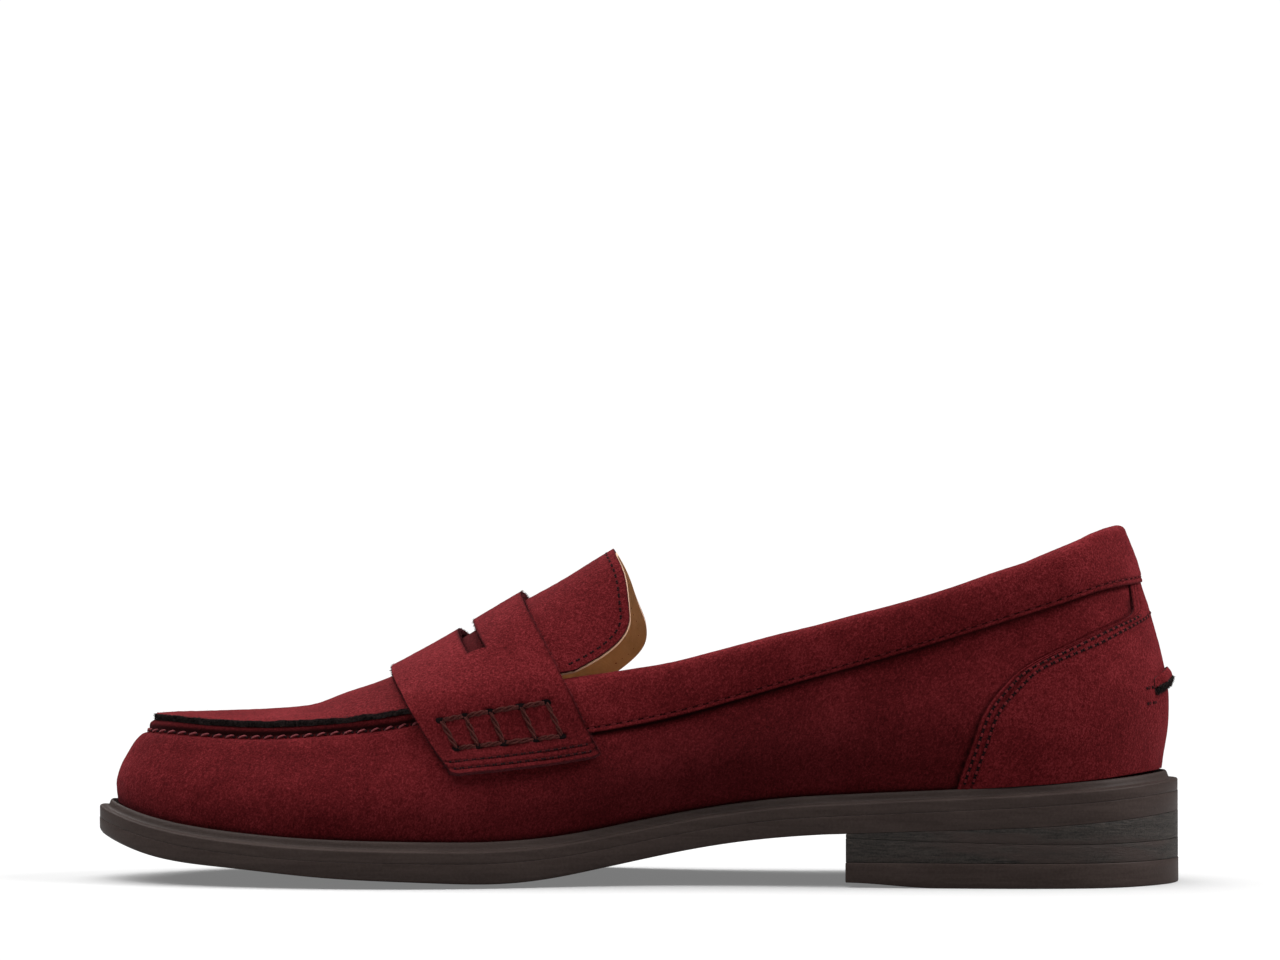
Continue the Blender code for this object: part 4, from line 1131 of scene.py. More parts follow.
    def build_sock(self) -> None:
        """Sock liner: smooth leather over foam, softly dished, its edge turned down."""
        plan = self.sole_plan()
        edge = self.last.sole_edge
        def lift(base: float) -> Callable[[Array, Array], Array]:
            """A height over the sole edge, dished under the ball and the heel."""
            def height(x: Array, y: Array) -> Array:
                """The dished height at a point of the plan."""
                dish = 0.8 * bump_at(x, 92, 30) * bump_at(y, 0, 17) + 0.5 * bump_at(x, -62, 34) \
                    * bump_at(y, 0, 26)
                return edge(x) + base - dish * (base > 5.5)
            return height
        heel = 1.3 * smoothstep(plan.points[:, 0], 85, 120)
        rings = [plan.ring(12.0, share, lift(5.05)) for share in (1, 0.5, 0)]
        for inset, base in ((10.4, 5.05), (10.05, 5.15), (10.0, 5.5), (10.1, 5.8), (10.5, 5.94)):
            shifted = Plan(plan.points - plan.normals * heel[:, None], plan.normals, plan.core)
            rings.append(shifted.ring(inset, 0, lift(base)))
        rings += [plan.ring(12.0, share, lift(5.95)) for share in np.linspace(0, 1, 20)]
        piece = ring_solid("sock_leather", rings, [self.wear(Finish.LINING)])
        set_piece(piece, "tan_lining", "sock_liner")
        t = np.linspace(0, self.last.outline.count, 900)
        stitched = self.last.outline.at(t) - self.last.outline.normal(t) * 15.0
        stitched = stitched[stitched[:, 0] > 30]
        stitched = np.concatenate([stitched[stitched[:, 1] < 0.8], stitched[stitched[:, 1] >= 0.8]])
        order = np.argsort(np.arctan2(stitched[:, 1] - 0.8, stitched[:, 0] - 60))
        stitched = stitched[order]
        stitched = stitched[np.abs(np.arctan2(stitched[:, 1] - 0.8, stitched[:, 0] - 60)) < 2.4]
        path = np.column_stack([stitched, lift(5.95)(stitched[:, 0], stitched[:, 1])])
        up = np.broadcast_to([0.0, 0.0, 1.0], path.shape)
        row = StitchRow(pitch=3.4, visible=2.4, radius=0.22, rise=0.2)
        set_piece(row.build("sock_stitches", path, up, self.wear(Finish.STITCH)), "sewing_thread")

    def dress_inside(self, nodes: dict) -> None:
        """Finishes for the parts inside that keep their own shape."""
        inside = {"bottom_filler": Finish.CORK, "insole_board": Finish.BOARD, "footbed": Finish.FOAM,
                  "shank": Finish.STEEL, "toe_puff": Finish.FIBRE, "heel_stiffener": Finish.FIBRE,
                  "collar_foam": Finish.FOAM}
        inside.update({f"heel_nail_{number}": Finish.STEEL for number in range(1, 5)})
        for name, finish in inside.items():
            node = nodes[name]
            for place in node.material_slots:
                place.material = self.wear(finish)

    def build(self, nodes: dict) -> None:
        """Build the whole sole unit."""
        self.build_outsole()
        self.build_welt()
        self.build_heel()
        self.build_sock()
        self.dress_inside(nodes)


# -------------------------------------------------------------------------------- upper's wall
@dataclass
class Quarters:
    """The wall of the upper: vamp and quarters, counter cover, heel tab and the linings."""

    last: Last
    wear: Wardrobe
    suede: float = 1.4
    lining: float = 1.0
    stiffener: float = 1.3
    gap: float = 0.4
    counter_suede: float = 1.0
    counter_lift: float = 0.5
    seam_down: float = 2.3
    seam_pitch: float = 3.45
    counter_rows: Pairs = ((1, 1.5), (2, 3.5))
    tab_half: float = 0.80      # half the heel tab's length, in units of t
    fuzz: int = 4200            # fibres on the tab's raw half
    counter_edge: Pairs = ((0.0, 80.0), (0.13, 82.0), (0.26, 84.6), (0.42, 88.7), (0.50, 93.0),
                           (0.555, 98.0), (0.595, 106.2), (0.625, 114.7), (0.65, 121.0),
                           (0.69, 123.2), (0.80, 122.4))

    def soft(self, points: Array, seed: int) -> Array:
        """Slack of the leather: broad waves, small dents and a trace of nap, in millimetres."""
        return (0.20 * ripple(points, 38, seed) + 0.05 * ripple(points, 9, seed + 1)
                + 0.022 * ripple(points, 2.2, seed + 2, 20))

    def seam_factor(self, x: Array) -> Array:
        """1 where the moccasin seam shows, 0 behind the strap."""
        return 1 - smoothstep(x, -36, -22)

    def seam_depth(self, x: Array) -> Array:
        """How far the seam lies below the top edge: a little more near the strap."""
        return self.seam_down + 0.7 * smoothstep(x, -82, -56)

    def toe_pull(self, points: Array, v: Array) -> Array:
        """How far the wall is pulled in towards its top at the tip of the toe."""
        return 1.3 * (1 - smoothstep(points[..., 0], -134, -116)) * smoothstep(v, 0.62, 0.95)

    def build_vamp(self) -> None:
        """Wall all round, with the ridge, groove and gathers of the moccasin seam along its top."""
        count = self.last.outline.count
        t = np.linspace(0.04, count - 0.04, 640)
        share = 1 - (1 - np.linspace(0, 1, 64)) ** 1.35
        x = self.last.plan_x(t)
        height = self.last.wall_height(t)
        behind = smoothstep(x, -34, -19)
        top = 0.997 * (1 - behind) + (1 - 10.0 / height) * behind
        v = share[:, None] * top
        base = self.last.wall(t, v)
        down = (1 - v) * height
        line = self.last.wall(t, 1 - self.seam_depth(x) / height)
        seam = self.seam_depth(x)
        run = np.concatenate([[0], np.cumsum(np.linalg.norm(np.diff(line, axis=0), axis=1))])
        front = self.seam_factor(base[..., 0])
        gathers = np.cos(run / self.seam_pitch * 2 * math.pi) * bump_at(down, 4.6, 1.8) * 0.06
        relief = (0.40 * bump_at(down, seam * 0.42, 0.75) - 0.75 * bump_at(down, seam + 0.1, 0.75)
                  + 0.25 * bump_at(down, 5.2, 2.0) + gathers) * front
        relief = relief + self.soft(base, 3) * smoothstep(down, 2, 12) * smoothstep(v, 0, 0.12)
        relief = relief - self.toe_pull(base, v)
        under_band = down - self.last.band(base[..., 0])
        before = base[..., 0] - Profile(self.counter_edge)(v)
        # Painted shade along the moccasin seam: under the apron's edge, on the ridge and in the groove.
        seam_shade = (0.78 * bump_at(down, seam - 0.55, 0.45) + 0.25 * bump_at(down, seam - 0.6, 1.3)
                   + 0.22 * (1 - smoothstep(down, seam * 0.7, seam))
                   + 0.6 * bump_at(down, 0.0, 0.45))
        # Painted shade: the seam, the middle of the quarter as it turns from the overhead light, darker
        # towards the sole and at its foot, under the collar's lower edge and in front of the counter's
        # edge.
        painted_shade_and_dye = (seam_shade * front + 0.42 * bump_at(base[..., 0], 22, 62) * bump_at(v, 0.36, 0.42)
                  + 0.22 * (1 - smoothstep(v, 0.10, 0.55))
                  + 0.45 * (1 - smoothstep(v * height, 0.6, 3.4))
                  + 0.75 * bump_at(under_band, 0.35, 0.7) * smoothstep(base[..., 0], -20, -12)
                  + 0.6 * bump_at(before, -0.35, 0.6) * (v < 0.72))
        piece = suede_piece("vamp_suede", raised(base, relief), self.suede, self.wear, painted_shade_and_dye,
                            round_edge=0.0)
        set_piece(piece, "suede", "vamp")

        sewn = np.linspace(4.9, count - 4.6, 1200)
        seam_v = 1 - self.seam_depth(self.last.plan_x(sewn)) / self.last.wall_height(sewn)
        path = self.last.wall(sewn, seam_v)
        step = self.last.wall(sewn, seam_v + 0.01) - path
        out = unit(np.cross(np.gradient(path, axis=0), step))
        keep = path[:, 0] < -45
        row = StitchRow(self.seam_pitch, 2.3, 0.26, 0.46, slant=-1.1, holes=0.42)
        sunk = path[keep] - out[keep] * (0.45 + self.toe_pull(path, seam_v)[keep, None])
        row.sew("moccasin_stitches", sunk, out[keep], self.wear, Finish.LIGHT_STITCH,
                "moc_seam_thread", holes="moccasin_stitch_holes")

    def counter_grid(self, rows: Array, columns: int) -> Tuple[Array, Array]:
        """t and v over the counter cover, closer together near its two front edges."""
        edge = Profile(self.counter_edge)(rows)
        inner = self.last.knot(edge, rows, True) - self.last.outline.count
        outer = self.last.knot(edge, rows, False)
        u = np.linspace(-1, 1, columns)
        share = 0.5 + 0.5 * np.sign(u) * (1 - (1 - np.abs(u)) ** 1.5)
        t = inner[:, None] * (1 - share) + outer[:, None] * share
        return t, np.broadcast_to(rows[:, None], t.shape)

    def build_counter(self) -> None:
        """Cover over the heel, swelling a little behind two rows of stitches along each edge."""
        rows = np.linspace(0.03, 0.80, 100)
        t, v = self.counter_grid(rows, 260)
        flat = self.last.wall(t, v)
        away = np.linalg.norm(flat - flat[:, :1], axis=-1)
        away = np.minimum(away, np.linalg.norm(flat - flat[:, -1:], axis=-1))
        sunk = sum(bump_at(away, inset, 0.55) for _, inset in self.counter_rows)
        relief = (self.counter_lift + self.counter_suede - 0.25 * sunk
                  - 0.35 * bump_at(away, 0, 0.5) + 0.20 * smoothstep(away, 4, 9))
        relief = relief + self.soft(flat, 11) * smoothstep(away, 5, 14) * 0.8
        relief = relief - 0.35 * smoothstep(v, 0.66, 0.78)
        # Painted shade in the sunk stitch rows and along the cover's turned edge.
        painted_shade_and_dye = 0.35 * sum(bump_at(away, inset, 0.5) for _, inset in self.counter_rows) \
            + 0.55 * bump_at(away, 0, 0.35)
        piece = suede_piece("counter_suede", raised(flat, relief), self.counter_suede, self.wear,
                            painted_shade_and_dye, round_edge=0.25)
        set_piece(piece, "suede", "counter_cover")

        surface = raised(flat, relief + 0.12)
        normal = normals_of(surface)
        keep = (rows > 0.05) & (rows < 0.66)
        row = StitchRow(2.05, 1.25, 0.30, 0.20, holes=0.44)
        for side, order in (("inner", slice(None)), ("outer", slice(None, None, -1))):
            for number, inset in self.counter_rows:
                path, out = inset_line(surface[:, order], normal[:, order], inset, 30, 0.05)
                row.sew(f"counter_stitches_{side}_{number}", path[keep], out[keep], self.wear,
                        Finish.STITCH)

    def build_heel_tab(self) -> None:
        """Small tab across the back: it bulges out of the seam, its lower half raw and black."""
        half = self.tab_half
        t, share = np.meshgrid(np.linspace(-half, half, 130), np.linspace(0, 1, 26))
        hump = 1 - (t / half) ** 2
        v = 0.334 + 0.030 * hump + (0.064 + 0.004 * hump) * share
        flat = self.last.wall(t, v)
        free = 1 - share
        off = self.counter_lift + self.counter_suede + 0.35 + 1.5 * bump_at(free, 0.45, 0.50) \
            * smoothstep(half - np.abs(t), 0, 0.30)
        edge = 0.22 * ripple(flat, 1.5, 21) * smoothstep(free, 0.45, 0.7)
        piece = suede_piece("heel_tab_suede", raised(flat, off + edge), 1.2, self.wear,
                            smoothstep(free, 0.54, 0.66), Finish.RAW)
        set_piece(piece, "suede", "heel_tab")
        draw = np.random.default_rng(5)
        face = raised(flat, off)
        normal = normals_of(face)
        pick = draw.integers(0, 11, self.fuzz), draw.integers(3, 127, self.fuzz)
        roots = face[pick] + draw.normal(scale=0.12, size=(self.fuzz, 3))
        aim = normal[pick] + np.array([0.0, 0.0, -0.35])
        set_piece(fibres("heel_tab_fuzz", roots, aim, 0.95, 0.16, 7, self.wear(Finish.RAW)), "suede")
        row = StitchRow(1.9, 1.2, 0.26, 0.2, holes=0.42)
        for side, first in (("inner", -half - 0.30), ("outer", half - 0.04)):
            for number, height in ((1, 0.366), (2, 0.306)):
                beside = np.stack([self.last.wall(np.linspace(first, first + 0.34, 30),
                                                  height + step) for step in (-0.01, 0.0, 0.01)])
                lifted = raised(beside, self.counter_lift + self.counter_suede + 0.25)
                row.sew(f"heel_tab_stitches_{side}_{number}", lifted[1], normals_of(lifted)[1],
                        self.wear, Finish.DARK_STITCH)

    def lining_depth(self, x: Array) -> Array:
        """Depth of the lining's outer face: deeper behind the toe puff and the heel stiffener."""
        stiff = smoothstep(-np.asarray(x), 70, 84) + smoothstep(x, -22, -8)
        return self.suede + self.gap + (self.stiffener + self.gap) * stiff

    def wall_lining(self, name: str, t: Array, low: float, top: Array, depth: Array, thick: float,
                    finish: Finish, slot: str, node: str) -> None:
        """A lining on the wall between two heights."""
        share = np.linspace(0, 1, 40)[:, None]
        v = low * (1 - share) + top * share
        flat = self.last.wall(t, v)
        slack = 0.12 * ripple(flat, 22, 31)
        piece = sheet_piece(name, raised(flat, slack - depth), thick, [self.wear(finish)], 0, 0.2)
        set_piece(piece, slot, node)

    def build_linings(self) -> None:
        """Vamp lining, quarter lining and the suede grip inside the heel."""
        count = self.last.outline.count
        def sides(x: float) -> Tuple[float, float]:
            """t of the outer and inner side at half height where the wall passes x."""
            return float(self.last.knot(x, 0.5, False)), float(self.last.knot(x, 0.5, True))
        outer, inner = sides(-18.5)
        front = np.linspace(outer, inner, 300)
        outer, inner = sides(-16.5)
        rear = np.linspace(inner - count, outer, 300)
        outer, inner = sides(92.0)
        grip = np.linspace(inner - count, outer, 160)
        inside = np.full(grip.shape, self.suede + 3 * self.gap + self.stiffener + self.lining)
        for part, t, low, top, depth, thick, finish, slot in (
                ("vamp_lining", front, 0.02, np.full(front.shape, 0.9), None, self.lining,
                 Finish.LINING, "tan_lining"),
                ("quarter_lining", rear, 0.02, 1 - 7.0 / self.last.wall_height(rear), None,
                 self.lining, Finish.LINING, "tan_lining"),
                ("heel_grip", grip, 0.14, 1 - 9.0 / self.last.wall_height(grip), inside, 0.8,
                 Finish.SUEDE, "suede")):
            name = part + ("_suede" if slot == "suede" else "_leather")
            if depth is None:
                depth = self.lining_depth(self.last.plan_x(t))
            self.wall_lining(name, t, low, top, depth, thick, finish, slot, part)

    def build(self) -> None:
        """Build the wall and its linings."""
        self.build_vamp()
        self.build_counter()
        self.build_heel_tab()
        self.build_linings()


# ------------------------------------------------------------------------------------- strap
@dataclass
class SaddleStrap:
    """Strap over the instep: raw front and rear edges, folded ends, a slot, and laced ends."""

    last: Last
    wear: Wardrobe
    front_x: float = -60.6
    rear_x: float = -28.0
    front_drop: float = 0.72
    rear_drop: float = 0.535
    half_girth: float = 1.51
    suede: float = 1.8
    plug_suede: float = 1.2
    gap: float = 0.4
    seam_bump: float = 0.6
    slot_lines: Tuple[float, float] = (0.52, 0.64)
    slot_reach: float = 0.70
    across_count: Tuple[int, int, int] = (48, 11, 40)
    q_count: int = 330
    q_mm: float = 43.0          # millimetres of girth for one unit of q
    width_mm: float = 33.0      # about the strap's width from front to rear edge
    end_rows: Pairs = ((1, 1.4), (2, 3.5))
    fringe: int = 5200          # fibres along the raw edges
    lace_rows: Tuple[float, float] = (1.150, 1.345)
    lace_skew: Tuple[float, float] = (-0.040, 0.010)
    lace_start: float = 0.135
    lace_step: float = 0.175
    strand: float = 0.27
    twist: float = 0.46
    pit: float = 0.85
    lace_wander: Pairs = ((0.010, -0.010, -0.024, 0.0, -0.006), (0.006, -0.032, -0.040, -0.006, -0.010))

    def edge_x(self, q: Array, start: float, drop: float) -> Array:
        """x of an edge seen from the side: it moves back by drop for each millimetre it falls."""
        top = float(self.last.ridge(start))
        x = np.full(np.shape(q), start, float)
        for _ in range(40):
            x = 0.5 * x + 0.5 * (start + drop * (top - self.last.skin(x, q)[..., 2]))
        return x

    def edges(self, q: Array) -> Tuple[Array, Array]:
        """x of the front and rear edges at q round the instep."""
        return (self.edge_x(q, self.front_x, self.front_drop),
                self.edge_x(q, self.rear_x, self.rear_drop))

    def lift(self, q: Array) -> Array:
        """Height of the strap's inner face: over the apron in the middle, down on the wall."""
        over = 0.5 + self.plug_suede + 2 * self.gap
        over = over + self.seam_bump * bump_at(np.abs(q), 1.04, 0.1)
        return over + (self.gap - over) * smoothstep(np.abs(q), 1.09, 1.34)

    def surface(self) -> Array:
        """Outer face: rows round the instep, columns from the front edge to the rear edge.

        The last's skin is raised by the lift and the leather, then averaged with its neighbours
        along the strap, because leather under tension bridges the seam below it.
        """
        self.q = np.linspace(-self.half_girth, self.half_girth, self.q_count)
        low, high = self.slot_lines
        one, two, three = self.across_count
        self.across = np.concatenate([np.linspace(0, low, one)[:-1], np.linspace(low, high, two)[:-1],
                                      np.linspace(high, 1, three)])
        q, across = np.meshgrid(self.q, self.across, indexing="ij")
        front, rear = self.edges(self.q)
        end = smoothstep(np.abs(q), 1.2, self.half_girth)
        corner = 0.012 * end * (bump_at(across, 0, 0.03) + bump_at(across, 1, 0.03))
        q = q - np.sign(q) * corner
        fray = 0.0035 * ripple(np.stack([q * 45, across * 0, q * 0], -1), 1.6, 41)
        x = front[:, None] * (1 - across) + rear[:, None] * across
        x = x + fray * self.width_mm * (bump_at(across, 1, 0.02) + bump_at(across, 0, 0.02))
        base = self.last.skin(x, q)
        fold = 0.45 * smoothstep(np.abs(self.q), self.half_girth - 0.095, self.half_girth - 0.08)
        face = raised(base, (self.lift(np.abs(q)) + self.suede) + fold[:, None])
        for _ in range(50):
            face[1:-1] = 0.25 * face[:-2] + 0.5 * face[1:-1] + 0.25 * face[2:]
        return face

    def on_face(self, q: Array, across: Array) -> Tuple[Array, Array]:
        """Points and normals of the outer face at given q and shares across, by straight mixing."""
        row = np.interp(q, self.q, np.arange(len(self.q)))
        column = np.interp(across, self.across, np.arange(len(self.across)))
        i = np.clip(row.astype(int), 0, len(self.q) - 2)
        j = np.clip(column.astype(int), 0, len(self.across) - 2)
        a, b = (row - i)[..., None], (column - j)[..., None]
        found = []
        for grid in (self.face, self.normal):
            found.append(grid[i, j] * (1 - a) * (1 - b) + grid[i + 1, j] * a * (1 - b)
                         + grid[i, j + 1] * (1 - a) * b + grid[i + 1, j + 1] * a * b)
        return found[0], unit(found[1])

    def lace_holes(self) -> Tuple[Array, Array]:
        """q and share across of the ten holes: two rows of five."""
        posts = self.lace_start + self.lace_step * np.arange(5) + np.array(self.lace_wander)
        rows = np.array(self.lace_rows)[:, None] + np.array(self.lace_skew)[:, None] * (posts - 0.45)
        return rows, posts

    def build_strap(self) -> None:
        """The strap itself, with dents at the lacing holes and painted shade in them, in the stitch
        channels, along the slot and rear edges, and down its sides.
        """
        self.face = self.surface()
        self.normal = normals_of(self.face)
        q, across = np.meshgrid(self.q, self.across, indexing="ij")
        hole_q, hole_a = self.lace_holes()
        dent = np.zeros(q.shape)
        for a, b in zip(hole_q.ravel(), hole_a.ravel()):
            away = ((np.abs(q) - a) * self.q_mm) ** 2 + ((across - b) * self.width_mm) ** 2
            dent = np.maximum(dent, np.exp(-away / 0.70))
        from_end = (self.half_girth - np.abs(q)) * self.q_mm
        channel = sum(bump_at(from_end, inset, 0.45) for _, inset in self.end_rows)
        relief = (-0.9 * dent - 0.22 * channel + 0.10 * ripple(self.face, 20, 43)
                  + 0.02 * ripple(self.face, 1.8, 44, 20))
        keep = np.ones((len(self.q) - 1, len(self.across) - 1), bool)
        middle = np.abs((self.q[:-1] + self.q[1:]) / 2) < self.slot_reach
        first = self.across_count[0] - 1
        keep[np.ix_(middle, np.arange(first, first + self.across_count[1] - 1))] = False
        beside = np.minimum(np.abs(across - self.slot_lines[0]), np.abs(across - self.slot_lines[1]))
        slot_edge = bump_at(beside, 0, 0.012) * (1 - smoothstep(np.abs(q), self.slot_reach,
                                                                self.slot_reach + 0.02))
        # Painted shade: lacing dents, stitch channels, slot and rear edges, and darker down the wall at
        # both ends.
        painted_shade_and_dye = dent + 0.4 * channel + 0.8 * slot_edge + 0.55 * bump_at(across, 1, 0.012)
        painted_shade_and_dye = painted_shade_and_dye + 0.30 * smoothstep(np.abs(q), 1.0, 1.45)
        piece = suede_piece("strap_suede", raised(self.face, relief), self.suede, self.wear, painted_shade_and_dye,
                            round_edge=0.22, keep=keep)
        set_piece(piece, "suede", "saddle_strap")

    def build_fringe(self) -> None:
        """Fibres along the raw edges of the strap and of its slot."""
        draw, count = np.random.default_rng(45), self.fringe
        q = draw.uniform(-self.half_girth, self.half_girth, count)
        side = draw.choice([0.0, 1.0, *self.slot_lines], count, p=[0.35, 0.45, 0.1, 0.1])
        in_slot = (side > 0) & (side < 1)
        q = np.where(in_slot, q * self.slot_reach / self.half_girth, q)
        point, normal = self.on_face(q, side)
        point = point - normal * draw.uniform(0, self.suede, (count, 1))
        ahead = np.where(np.isin(side, [0.0, self.slot_lines[1]]), -1.0, 1.0)[:, None]
        aim = np.array([1.0, 0.0, 0.45]) * ahead
        set_piece(fibres("strap_fringe", point, aim, 0.85, 0.13, 46, self.wear(Finish.RAW_RED)),
                  "suede")

    def cord_run(self, start: Tuple[float, float], end: Tuple[float, float]) -> Tuple[Array, Array]:
        """A straight run of cord over the strap, dipping into a hole at each end."""
        s = np.linspace(0, 1, 22)
        q = start[0] * (1 - s) + end[0] * s
        across = start[1] * (1 - s) + end[1] * s
        point, normal = self.on_face(q, across)
        arch = 0.62 * (1 - np.abs(2 * s - 1) ** 5) - 0.55
        return point + normal * arch[:, None], normal

    def strands(self, centre: Array, out: Array) -> Tuple[Array, Array]:
        """Three strands for each run of cord, laid round it in a slow flat twist.

        Args:
            centre: runs, points along, xyz.
            out: outward normals at the points.

        Returns:
            The strands' own centre lines and normals, three times as many.
        """
        across = unit(np.cross(np.gradient(centre, axis=1), out))
        s = np.linspace(0, 1, centre.shape[1])
        draw = np.random.default_rng(47)
        phase = draw.uniform(0, 2 * math.pi, (len(centre), 1))
        laid = []
        for number in range(3):
            angle = phase + (number / 3 + s * 0.9) * 2 * math.pi
            spread = self.twist * (0.55 + 0.45 * np.sin(math.pi * s))
            laid.append(centre + across * (spread * np.cos(angle))[..., None]
                        + out * (0.5 * self.twist * np.sin(angle))[..., None])
        return np.concatenate(laid), np.concatenate([out] * 3)

    def build_lacing(self) -> None:
        """Five rungs and eight rails of waxed cord on each end, with their holes."""
        hole_q, hole_a = self.lace_holes()
        for sign, side, node in ((-1, "medial", "strap_lacing_medial"),
                                 (1, "lateral", "strap_lacing_lateral")):
            runs = [((sign * hole_q[0, i], hole_a[0, i]), (sign * hole_q[1, i], hole_a[1, i]))
                    for i in range(5)]
            runs += [((sign * hole_q[r, i], hole_a[r, i] + 0.012),
                      (sign * hole_q[r, i + 1], hole_a[r, i + 1] - 0.012))
                     for r in range(2) for i in range(4)]
            lines, normals = zip(*(self.cord_run(*run) for run in runs))
            centre, out = self.strands(np.stack(lines), np.stack(normals))
            radius = np.full(centre.shape[:2], self.strand)
            points, faces, run = tubes(centre, out, radius * 0.85, radius, 8)
            piece = link_mesh(f"strap_lacing_{side}_cord", points, faces, [self.wear(Finish.CORD)],
                              uv=run)
            set_piece(piece, "waxed_thread", node)
            across = np.repeat(hole_a.ravel(), 3) + np.tile([-0.03, 0.0, 0.03], 10)
            point, normal = self.on_face(np.repeat(sign * hole_q.ravel(), 3), across)
            row = StitchRow(1.0, 0.6, 0.2, 0.0, holes=self.pit)
            # A dark lentil in each lace hole: painted shade of the hole.
            for i in range(10):
                p, n = point[3 * i:3 * i + 3], normal[3 * i:3 * i + 3]
                set_piece(row.pierce(f"strap_lacing_{side}_hole_{i + 1}", p - 0.25 * n, n,
                                     self.wear(Finish.PIT_SHADE)), "suede")

    def build_end_stitches(self) -> None:
        """Two machine rows along each folded end."""
        row = StitchRow(2.0, 1.35, 0.24, 0.16, holes=0.34)
        for sign, side in ((-1, "inner"), (1, "outer")):
            for number, inset in self.end_rows:
                across = np.linspace(0.04, 0.96, 120)
                q = np.full(120, sign * (self.half_girth - inset / self.q_mm))
                point, normal = self.on_face(q, across)
                row.sew(f"strap_end_stitches_{side}_{number}", point - normal * 0.12, normal,
                        self.wear, Finish.DARK_STITCH)

    def build(self) -> None:
        """Build the strap with everything on it."""
        self.build_strap()
        self.build_fringe()
        self.build_lacing()
        self.build_end_stitches()


# ------------------------------------------------------------------------------------ collar
@dataclass
class Collar:
    """Folded suede strip over a foam roll round the mouth, sewn down along its lower edge."""

    last: Last
    wear: Wardrobe
    strap: SaddleStrap
    fold_width: float = 12.5
    clearance: float = 0.5
    suede: float = 1.0
    sewn_down: float = 11.55
    path: Pairs = ((12.5, 0.10), (12.05, 0.24), (11.5, 0.30), (10.8, 0.52), (9.5, 0.92), (7.5, 1.25),
                   (5.2, 1.35), (3.0, 1.22), (1.3, 0.75), (0.3, -0.25), (0.2, -1.5), (1.0, -2.7),
                   (2.5, -3.2), (4.4, -3.45), (6.6, -3.55), (8.4, -3.5))

    def place(self, t: Array, down: Array, out: Array) -> Array:
        """A point down below the topline and out off the wall, both in millimetres.

        Round the back the strip lies straight, leaning out towards its lower edge.
        """
        t, down, out = np.broadcast_arrays(t, down, out)
        back = smoothstep(self.last.plan_x(t), 108, 130) * smoothstep(out, -0.8, 0.6)
        straight = -0.2 + 1.25 * smoothstep(down, -3.0, 13.0)
        out = out * (1 - back) + straight * back
        down = down * self.last.band(self.last.plan_x(t)) / self.fold_width
        point = self.last.wall(t, 1 - down / self.last.wall_height(t))
        point[..., :2] += self.last.outline.normal(t) * out[..., None]
        return point

    def start(self, down: Array, inner: bool) -> Array:
        """t where the strip begins: close behind the strap's rear edge, its top just under it."""
        height = self.last.wall_height(self.last.knot(-12.0, 1.0, inner))
        q = (1 + down / height) * (-1 if inner else 1)
        behind = self.strap.edges(q)[1] + self.clearance - 1.1 * (1 - smoothstep(down, 0.5, 4.5))
        return self.last.knot(behind, 1 - down / height, inner)

    def build(self) -> None:
        """The strip with painted shade along its stitch line and lower edge, and its row of stitches."""
        down, out = np.array(self.path).T
        place = np.arange(len(down))
        fine = np.linspace(0, len(down) - 1, 60)
        down = Profile(list(zip(place, down)))(fine)[:, None]
        out = Profile(list(zip(place, out)))(fine)[:, None]
        start_down = np.where(out > -1.3, down, 0.0)[:, 0]
        inner = self.start(start_down, True) - self.last.outline.count
        outer = self.start(start_down, False)
        share = np.linspace(0, 1, 420)
        t = inner[:, None] * (1 - share) + outer[:, None] * share
        under = self.place(t, down, out)
        puff = 0.16 * ripple(under, 24, 51) + 0.018 * ripple(under, 2.0, 52, 20)
        sewn = bump_at(down, self.sewn_down, 0.35)
        face = raised(under, self.suede + puff * smoothstep(self.sewn_down - down, 0.5, 4)
                      - 0.35 * sewn)
        # Painted shade where the strip is pinched at its stitches and under its lower edge.
        painted_shade_and_dye = 0.5 * sewn + 0.7 * smoothstep(down, 12.1, 12.5)
        piece = suede_piece("collar_suede", face, self.suede, self.wear, painted_shade_and_dye)
        set_piece(piece, "suede", "collar_band")

        row_at = int(np.argmin(np.abs(down[:, 0] - self.sewn_down)))
        row = StitchRow(2.75, 1.8, 0.25, 0.24, holes=0.36)
        row.sew("collar_stitches", face[row_at], normals_of(face)[row_at], self.wear, Finish.STITCH,
                holes="collar_stitch_holes")


